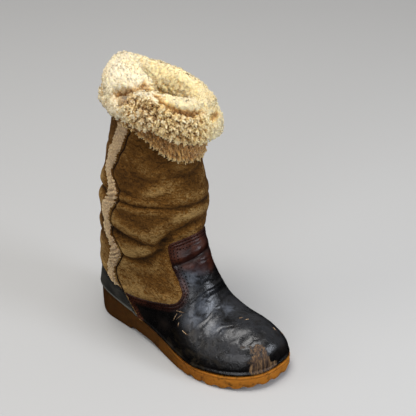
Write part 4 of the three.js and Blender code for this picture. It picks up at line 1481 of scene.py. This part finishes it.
def fleece_piece(name, points, faces, normals, pile, curly_of, honey_of, backing=None, deep=0.0):
    """A fleece: locks raised in its surface, and tufts all over it. pile holds its sizes. curly_of says
    how open its curls are at each point, from 0 to 1, and deep how much painted shade darkens it, in
    creases and shaded places, where its tufts are shorter too. A backing closes it."""
    lock, seed, root_sunk = pile["lock"], pile["seed"], 0.7
    curly = curly_of(points)
    dome, between = lock_cells(points, faces, lock, seed)
    deep = np.broadcast_to(deep, len(points))
    raised = pile["raise"] * (0.16 + 0.84 * curly) * (0.8 * dome - 1.1 * between)
    fine = 0.12 * lock * lattice_noise(points, 0.5 * lock, seed + 7)
    surface = points + normals * (raised + fine)[:, None]
    faces = turned_out(surface, faces, normals)
    domed = unit(normals + pile["domed"] * (0.24 + 0.76 * curly)[:, None] * point_normals(surface, faces))
    # Painted light and shade: the colour is darker between the locks and lighter on their domes, and darker
    # where the curls are open.
    surface_tone_and_shade = 0.76 - 0.38 * curly + 0.3 * dome - (0.1 + 0.42 * curly) * between
    surface_tone_and_shade = np.clip(surface_tone_and_shade, 0, 1) * (1 - deep)
    places = scatter(surface, faces, pile["count"], pile["apart"], seed + 1)
    roots, up_from, lock_curly, root_tone_and_shade, root_shade = (
        read_at(v, *places) for v in (surface, domed, curly[:, None], surface_tone_and_shade[:, None], deep[:, None])
    )
    up_from = unit(up_from)
    # Each tuft leans the way that its part of the fleece lies, and down.
    lie = noise_ways(roots, 2.2 * lock, seed + 5)
    lean_to = pile["lie"] * lie + np.array([0, 0, -pile["hang"]])
    lean_to = lean_to - up_from * (lean_to * up_from).sum(1, keepdims=True)
    length = pile["length"] * (0.3 + 0.7 * lock_curly) * (0.75 + 0.5 * root_tone_and_shade) * (1 - 0.6 * root_shade)
    made, made_faces, up, own = tufts(
        roots - up_from * root_sunk, lean_to, up_from, length, pile["radius"], pile["curl"], seed + 9
    )
    per_tuft = len(up) // len(roots)
    tuft_middles = np.repeat(made.reshape(-1, per_tuft, 3).mean(1), per_tuft, 0)
    made_faces = turned_out(made, made_faces, made - tuft_middles)
    # Each tuft is painted darker at its root than at its tip, partly as the wool's own tone and partly as
    # shade in the pile.
    contrast = np.repeat(0.2 + 0.55 * lock_curly[:, 0], per_tuft)
    tip_tone_and_shade = 1 - 0.5 * contrast + 0.6 * contrast * (np.repeat(root_tone_and_shade[:, 0], per_tuft) - 0.4)
    tip_tone_and_shade *= 1 - 0.8 * np.repeat(root_shade[:, 0], per_tuft)
    up = np.repeat(root_tone_and_shade[:, 0], per_tuft) * (1 - up) + tip_tone_and_shade * up
    if backing is not None:
        n = len(surface)
        surface, faces = closed_sheet(surface, backing, faces)
        surface_tone_and_shade = np.concatenate([surface_tone_and_shade, np.full(n, 0.2)])
    all_points = np.concatenate([surface, made])
    piece = add_mesh(
        name, all_points, np.concatenate([faces, made_faces + len(surface)]), fleece,
        up=np.concatenate([surface_tone_and_shade, up]),
        own=np.concatenate([0.5 + 0.3 * lattice_noise(surface, 4, seed + 11), own]),
        honey=honey_of(all_points),
    )
    # Light goes deep into wool, so a tuft is shaded more like the fleece round it than like a solid
    # thing.
    own_way = np.empty(len(all_points) * 3)
    piece.data.vertex_normals.foreach_get("vector", own_way)
    whole_way = np.concatenate(
        [domed, -domed[: len(surface) - len(domed)], np.repeat(up_from, per_tuft, 0)]
    )
    own_share = np.full((len(all_points), 1), 0.32)
    own_share[len(surface) :, 0] += 0.14 * np.repeat(lock_curly[:, 0], per_tuft)
    mixed = own_way.reshape(-1, 3) * own_share + whole_way * (1 - own_share)
    piece.data.normals_split_custom_set_from_vertices(unit(mixed).tolist())
    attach(piece, "root")
    return piece


strip_z = [59.7, 66, 68.5, 73, 80, 92, 106, 126, 148, 178, 206, 226, 252, 292]
strip_width = [2, 6, 15, 20, 26, 29, 29, 25, 24, 26, 24, 24, 25, 22]
strip_rows, strip_columns, strip_pile = 260, 25, 4.6
seam_turn, seam_z = curve(outer_seam, strip_rows, 0.3).T
width = np.interp(seam_z, strip_z, strip_width)
seam_at = shaft_at(seam_z, seam_turn)
ahead, behind = section(seam_at, seam_turn + 0.01), section(seam_at, seam_turn - 0.01)
speed = np.linalg.norm(ahead - behind, axis=1) / 0.02
share = np.linspace(0, 1, strip_columns)
strip_turn = seam_turn[:, None] + (1.5 + share * width[:, None]) / speed[:, None]
strip_at = shaft_at(seam_z[:, None], strip_turn)
strip_base, strip_normals = (v.reshape(-1, 3) for v in form(strip_at, strip_turn))
rounded = np.tile((1 - np.abs(2 * share - 1) ** 2.2) ** (1 / 2.2), strip_rows)
crown = rounded * np.repeat(np.clip(width / 16, 0.2, 1), strip_columns)
slant = np.tile(share, strip_rows) * np.repeat(width, strip_columns)
# It is gathered round two heights. Each has its spread and its strength.
gathers, ridge_pitch = ((118, 20, 1.0), (198, 9, 0.8)), 6.5
gathered = sum(strength * mound(strip_base[:, 2], z, spread) for z, spread, strength in gathers)
ridges = strip_base[:, 2] + 0.5 * slant + 2 * lattice_noise(strip_base, 16, 51)
ridges = np.cos(2 * np.pi * ridges / ridge_pitch)
swell = 0.5 * lattice_noise(strip_base, 17, 52) + (0.2 + 1.9 * gathered) * ridges
strip_height = crown * (strip_pile + swell + 0.8 * gathered) - 0.6
strip_outward, strip_lift = strip_normals, lift_at(strip_base)
strip_points = strip_base + strip_outward * (strip_lift + strip_height)[:, None]
strip_normals = grid_normals(strip_points, strip_rows, strip_columns, False)
strip_normals *= np.sign((strip_normals * strip_outward).sum(1, keepdims=True))
strip_faces = triangles(grid_faces(strip_rows, strip_columns))
# Painted shade: the strip is darker at its sides and in the valleys of its gathers.
strip_shade = 0.26 + 0.5 * (1 - rounded) ** 1.3
strip_shade = np.clip(strip_shade + 0.45 * np.minimum(gathered, 1) * (0.5 - 0.5 * ridges), 0, 1)
strip_sunk = 1.4
strip_under = strip_base + strip_outward * (strip_lift - strip_sunk)[:, None]
pile = {"count": 22000, "apart": 1.1, "lock": 3.6, "raise": 1.0, "length": 1.9, "radius": 0.52, "curl": 2.2}
pile |= {"lie": 1.3, "hang": 0.3, "domed": 0.5, "seed": 61}
strip = fleece_piece(
    "side_strip", strip_points, strip_faces, strip_normals, pile, lambda p: np.full(len(p), 0.8),
    lambda p: np.full(len(p), -0.42), strip_under, strip_shade,
)
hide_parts("side_strip")


# ---- Lining and footbed ----
# Inside, the same sheepskin's wool, shorn and pressed flat by the foot to about 5 mm, honey-yellow from
# wear. A footbed of felted wool lies loose on the sole, trodden down under the heel and the ball.

# How far inside the last the wool's face lies, at most and at least, and the hide's inside.
wool_depth, least_depth, hide_inside = 9.0, 5.2, 4.5
lining_rows, lining_columns = 110, 120
turns = np.arange(lining_columns) / lining_columns
rise = np.linspace(0, 1, lining_rows)[:, None]
lowest_row = 4.0
lining_at = lowest_row + (collar_at(turns) - lowest_row) * rise
lining_base, lining_normals = (v.reshape(-1, 3) for v in form(lining_at, turns))
depth = wool_depth - lumpy(lining_base, (1.2, 22, 71), (0.6, 7, 72))
depth = np.maximum(depth - 4 * smooth_step((lining_base[:, 2] - 240) / 15), least_depth)
lining_inner = lining_base - lining_normals * depth[:, None]
lining_outer = lining_base - lining_normals * hide_inside
lining_faces = triangles(grid_faces(lining_rows, lining_columns, round_columns=True))
rows = np.column_stack([lining_inner, lining_outer])
rows, lining_faces = trim(rows, lining_faces, lining_inner[:, 2] - sole_top(lining_inner[:, 0]) - 1.0)
lining_points, lining_faces = closed_sheet(rows[:, 3:], rows[:, :3], lining_faces)
lining = add_mesh(
    "wool_lining", lining_points, lining_faces, fleece,
    up=0.45 + 0.25 * lattice_noise(lining_points, 4, 73),
    own=0.5 + 0.4 * lattice_noise(lining_points, 3, 74), honey=np.full(len(lining_points), 0.9),
)
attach(lining, "root")

# Wool felt, needled: fuzzy and quite matt, oat-coloured, and browner where the foot has trodden it
# down. The fluff is drawn 0.9 mm wide, so that it shows.
felt = new_material("Wool felt, needled")
place = add(felt, "TexCoord", out="Object")
trodden = add(felt, "Attribute", out="Fac", attribute_name="trodden")
cloud = add(felt, "TexNoise", Vector=place, Scale=45.0, Detail=5.0)
fluff = add(felt, "TexNoise", Vector=place, Scale=1100.0, Detail=4.0, Roughness=0.7)
both = add(felt, "Math", cloud, fluff, operation="ADD")
oat = add(felt, "ValToRGB", Fac=add(felt, "MapRange", Value=both, From_Max=2.0), stops=[
    (0.35, "#a08a5e"), (0.5, "#bfa97c"), (0.65, "#d4c198")
])
dulled_oat = add(felt, "Mix", trodden, oat, linear("#8b744c"), data_type="RGBA")
matted = add(felt, "Bump", Height=fluff, Strength=0.6, Distance=0.0006)
shader = add(
    felt, "BsdfPrincipled", Base_Color=dulled_oat, Roughness=0.97, Specular_IOR_Level=0.15,
    Sheen_Weight=0.25, Sheen_Roughness=0.6, Normal=matted,
)
add(felt, "OutputMaterial", Surface=shader)

bed_inset, bed_thick, bed_rows, bed_columns = 12.8, 4.8, 110, 40
bed_x = -np.cos(np.pi * np.linspace(0.015, 0.985, bed_rows)) * (toe_x - bed_inset)
stretched = bed_x * toe_x / (toe_x - bed_inset)
bed_sides = []
for half_table, sign in ((outer_half, -1), (inner_half, 1)):
    half = (through(plan_x, half_table, bed_x) - bed_inset) * end_round(stretched)
    bed_sides.append(sign * half + lean(bed_x))
across = np.linspace(0, 1, bed_columns)
bed_xy = rows_across(bed_x, *bed_sides, across)
flat = np.column_stack([bed_xy, np.zeros(len(bed_xy))])
prints = [
    ((-98, 0), (26, 22), 1.6), ((52, 4), (30, 34), 1.4), ((88, 22), (13, 12), 1.0),
    ((96, -8), (14, 16), 0.6),
]
pressed = sum(
    deep * np.exp(-(((bed_xy - middle) / spread) ** 2).sum(1) ** 1.5) for middle, spread, deep in prints
)
side_gap = np.minimum(across, 1 - across) * (bed_sides[1] - bed_sides[0])[:, None]
end_gap = np.minimum(bed_xy[:, 0] - bed_x[0], bed_x[-1] - bed_xy[:, 0])
rounding = 1.5 * np.exp(-(side_gap.ravel() / 1.5)) + 1.2 * np.exp(-end_gap / 2)
bed_low = sole_top(bed_xy[:, 0]) + lay_gap
bed_top = bed_low + bed_thick - pressed - rounding + 0.25 * lattice_noise(flat, 9, 75)
bed_faces = triangles(grid_faces(bed_rows, bed_columns))
bed_points, bed_faces = closed_sheet(
    np.column_stack([bed_xy, bed_top]), np.column_stack([bed_xy, bed_low]), bed_faces
)
footbed = add_mesh(
    "felt_footbed", bed_points, bed_faces, felt, trodden=np.concatenate([pressed, pressed]) * 0.45
)
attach(footbed, "root")
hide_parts("insole")


# ---- Cuff ----
# The top of the shaft is turned down, so that its unshorn fleece shows: curls of 5 to 8 mm, cream at
# the tips and honey below. It flares over the instep, sags in at the outer back, and its raw edge hangs
# below the fold.

cuff_top, cuff_bottom = (331, 21, 0.4), (276, 18, 0.33)


def wave(turn, middle, swing, highest):
    return middle + swing * np.cos(2 * np.pi * (turn - highest))


def bell(turn, centre, width):
    return mound((turn - centre + 0.5) % 1, 0.5, width)


cuff_rows, cuff_columns = 132, 380
turns = np.arange(cuff_columns) / cuff_columns
top, bottom = wave(turns, *cuff_top) + 11.5 * bell(turns, 0.01, 0.15), wave(turns, *cuff_bottom)
lifted_turn = [-0.2, -0.1, -0.03, 0.02, 0.06, 0.09, 0.125, 0.17, 0.22, 0.29, 0.4, 0.6]
lifted = [6, 10, 10, 9, 8, 9, 12, 13, 11, 7, 4, 4]
bottom = bottom + np.interp(turns, lifted_turn, lifted, period=1)
far_side = bell(turns, 0.7, 0.2)
flare = 9 * (0.5 + 0.5 * np.cos(2 * np.pi * (turns - 0.875)))
fold_in = smooth_step((turns - 0.14) / 0.1) * smooth_step((0.5 - turns) / 0.08)
middle = (top + bottom) / 2
zero = np.zeros(cuff_columns)
cuff_profile = [
    (zero + 4, bottom + 5), (9 + 0.7 * flare, bottom + 3), (13.5 + 0.9 * flare, bottom + 4),
    (15.5 + 0.9 * flare, bottom + 11), (15.5 + 0.6 * flare - 2 * fold_in, middle),
    (15 - 5 * fold_in, top - 14), (11 - 10 * fold_in, top - 4), (-1 - 20 * fold_in, top - 1.5),
    (-9 - 20 * fold_in + 2 * far_side, top - 7 + 2 * far_side),
    (-12 - 12 * fold_in - far_side, top - 18 + 2 * far_side),
    (-12 - 2 * fold_in - 5 * far_side, top - 38 + 4 * far_side), (-11 - 3 * far_side, top - 66),
]


def profile_grid(profile, rows):
    """A profile of (out, height) in each column, drawn smoothly over that many rows."""
    keys, share = np.linspace(0, 1, len(profile)), np.linspace(0, 1, rows)
    columns = [zip(*(row[k] for row in profile)) for k in (0, 1)]
    return (np.stack([through(keys, column, share) for column in each], 1) for each in columns)


cuff_out, cuff_z = profile_grid(cuff_profile, cuff_rows)
# Above the top of the last, the cuff goes straight up.
on_last = np.clip(cuff_z, 240, 349)
cuff_base = form(shaft_at(on_last, turns), turns, cuff_out)[0].reshape(-1, 3)
cuff_base[:, 2] += (cuff_z - on_last).ravel()
cuff_normals = grid_normals(cuff_base, cuff_rows, cuff_columns, True)
outside_rows = slice(20, 84)
facing_out = (cuff_normals * (cuff_base - cuff_base.mean(0))).reshape(cuff_rows, -1)
cuff_normals *= np.sign(facing_out[outside_rows].sum())
lumps = lumpy(cuff_base, (1.6, 34, 81), (0.9, 15, 82))
cuff_grid = cuff_base.reshape(cuff_rows, cuff_columns, 3)


def on_cuff(corners):
    """The points of a crease on the cuff's outside, from its (turn, height) corners."""
    turn, z = curve(corners, 14 * len(corners)).T
    columns = (np.round(turn * cuff_columns).astype(int)) % cuff_columns
    outside = cuff_grid[outside_rows, columns]
    rows = np.abs(outside[..., 2] - z).argmin(0)
    return outside[rows, np.arange(len(columns))]


# Creases in the cuff, as in the shaft: round the sagging outer back, and across the roll over the
# instep.
cuff_creases = [
    (
        [(0.165, 343), (0.195, 341), (0.215, 338), (0.24, 334), (0.265, 330), (0.3, 327)], 8.0, 4.6,
        1.5, 1.2,
    ),
    (
        [
            (0.165, 338), (0.15, 336), (0.139, 334), (0.114, 329), (0.095, 324), (0.069, 319),
            (0.039, 315), (0.01, 312), (-0.03, 311),
        ],
        3.2, 3.4, 1.2, 1.4,
    ),
    ([(0.34, 318), (0.37, 322), (0.42, 323), (0.47, 320)], 2.5, 5.0, 1.0, 1.0),
    ([(0.62, 312), (0.68, 306), (0.75, 303), (0.82, 300)], 2.5, 5.0, 1.2, 1.2),
    ([(0.9, 296), (0.94, 300), (0.98, 301)], 2.0, 4.5, 0.8, 0.8),
]
crease_shade = np.zeros(len(cuff_base))
for corners, *facts in cuff_creases:
    moved, inside = crease(cuff_base, on_cuff(corners), *facts)
    lumps += moved
    crease_shade = np.maximum(crease_shade, inside)
cuff_points = cuff_base + cuff_normals * lumps[:, None]
turned = grid_normals(cuff_points, cuff_rows, cuff_columns, True)
cuff_normals = turned * np.sign((turned * cuff_normals).sum())
cuff_faces = triangles(grid_faces(cuff_rows, cuff_columns, round_columns=True))

grey_patch_spot, grey_patch_wide = (-35, -48, 329), 8.0


def grey_patch_at(points):
    """Where the wool is darker and greyer, in a patch in the sag of the outer back."""
    away = np.linalg.norm(points - grey_patch_spot, axis=1) + 1.5 * lattice_noise(points, 5, 87)
    return mound(np.maximum(away, 0), 0, grey_patch_wide)


def honey_of_cuff(points):
    """Yellower inside the mouth and on the inner side, whiter at the outer back."""
    flat = points[:, :2] - collar_middle[:2]
    outer_back = unit(np.array([[-0.5, -1.0]]))[0]
    side = (unit(flat) * outer_back).sum(1)
    inward = np.clip((46 - np.linalg.norm(flat, axis=1)) / 14, 0, 1) * (side < 0.6)
    inward = inward + 0.5 * smooth_step((points[:, 2] - 316) / 12) * smooth_step((0.5 - side) / 0.4)
    # In the grey patch the wool is greyed.
    matted = grey_patch_at(points)
    return np.clip(0.6 - 0.5 * side + 0.5 * inward, 0, 1) * (1 - matted) - 0.7 * matted


# The crease over the instep: the open curls lie below it.
crease_turn, crease_z = (0.01, 0.039, 0.069, 0.095, 0.114, 0.15, 0.3), (312, 315, 319, 324, 329, 336, 334)


def curly_of_cuff(points):
    """Open curls on the outside over the instep and the outer side, and close wool elsewhere."""
    flat = points[:, :2] - collar_middle[:2]
    turn = (np.arctan2(-flat[:, 1], flat[:, 0]) / (2 * np.pi) + 0.5) % 1 - 0.5
    over = np.interp(turn, crease_turn, crease_z)
    front = smooth_step((turn + 0.03) / 0.06) * smooth_step((0.27 - turn) / 0.08)
    back = 0.55 * smooth_step((np.abs(turn) - 0.36) / 0.06)
    return (np.maximum(front, back) * 0.8 + 0.2) * smooth_step((over + 2 - points[:, 2]) / 7)


split_row = 76
band = cuff_columns * split_row
outside_faces = cuff_faces[(cuff_faces < band + cuff_columns).all(1)]
mouth_faces = cuff_faces[(cuff_faces >= band).all(1)]
curls = {
    "count": 40000, "apart": 1.75, "lock": 8.0, "raise": 4.4, "length": 4.3, "radius": 1.35, "curl": 2.3
}
curls |= {"lie": 1.8, "hang": 0.5, "domed": 0.8, "seed": 91}
for name, some_faces, pile in (
    ("cuff_fleece", outside_faces, curls),
    ("cuff_mouth_fleece", mouth_faces, {**curls, "length": 3.4, "radius": 1.3, "apart": 1.9, "seed": 121}),
):
    used, some_faces = np.unique(some_faces, return_inverse=True)
    some_faces = some_faces.reshape(-1, 3)
    # Painted shade darkens the creases, and the grey patch is darkened with them.
    piece = fleece_piece(
        name, cuff_points[used], some_faces, cuff_normals[used], pile, curly_of_cuff, honey_of_cuff,
        deep=np.maximum(0.75 * crease_shade, grey_patch_at(cuff_points))[used],
    )
    if name == "cuff_fleece":
        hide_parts("cuff")

tier_rows, tier_columns = 22, 260
turns = np.arange(tier_columns) / tier_columns
bottom = wave(turns, *cuff_bottom)
from_front = np.abs((turns - 0.02 + 0.5) % 1 - 0.5)
tier_hang = 19
tier_down = tier_hang * np.maximum(0.05, np.cos(np.pi / 2 * np.minimum(1, from_front / 0.2)))
zero = np.zeros(tier_columns)
tier_profile = [
    (zero + 0.6, bottom - tier_down + 3), (zero + 3.5, bottom - tier_down + 1.5),
    (zero + 6, bottom - tier_down + 5), (zero + 6.5, bottom + 2), (zero + 5, bottom + 14),
]
tier_out, tier_z = profile_grid(tier_profile, tier_rows)
tier_base = form(shaft_at(tier_z, turns), turns, tier_out)[0].reshape(-1, 3)
tier_normals = grid_normals(tier_base, tier_rows, tier_columns, True)
tier_normals *= np.sign((tier_normals * (tier_base - tier_base.mean(0))).sum())
tier_points = tier_base + tier_normals * (0.8 * lattice_noise(tier_base, 11, 84))[:, None]
tier_faces = triangles(grid_faces(tier_rows, tier_columns, round_columns=True))
pile = {
    **curls, "length": 3.8, "radius": 1.05, "apart": 1.9, "lock": 5.0, "raise": 2.8, "hang": 0.7,
    "seed": 151,
}
# It is shaded where the cuff hangs over it.
shade_from, shade = (0, 0.25, 0.6, 1), (0.0, 0.08, 0.5, 0.85)
tier_shade = np.repeat(np.interp(np.linspace(0, 1, tier_rows), shade_from, shade), tier_columns)
fleece_piece(
    "cuff_edge_fleece", tier_points, tier_faces, tier_normals, pile, lambda p: np.full(len(p), 1.0),
    lambda p: np.full(len(p), 0.5), deep=tier_shade,
)


# ---- Finish ----

size = {"cad": [list(cad_low), list(cad_high)], "visual": [list(v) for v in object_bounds()]}
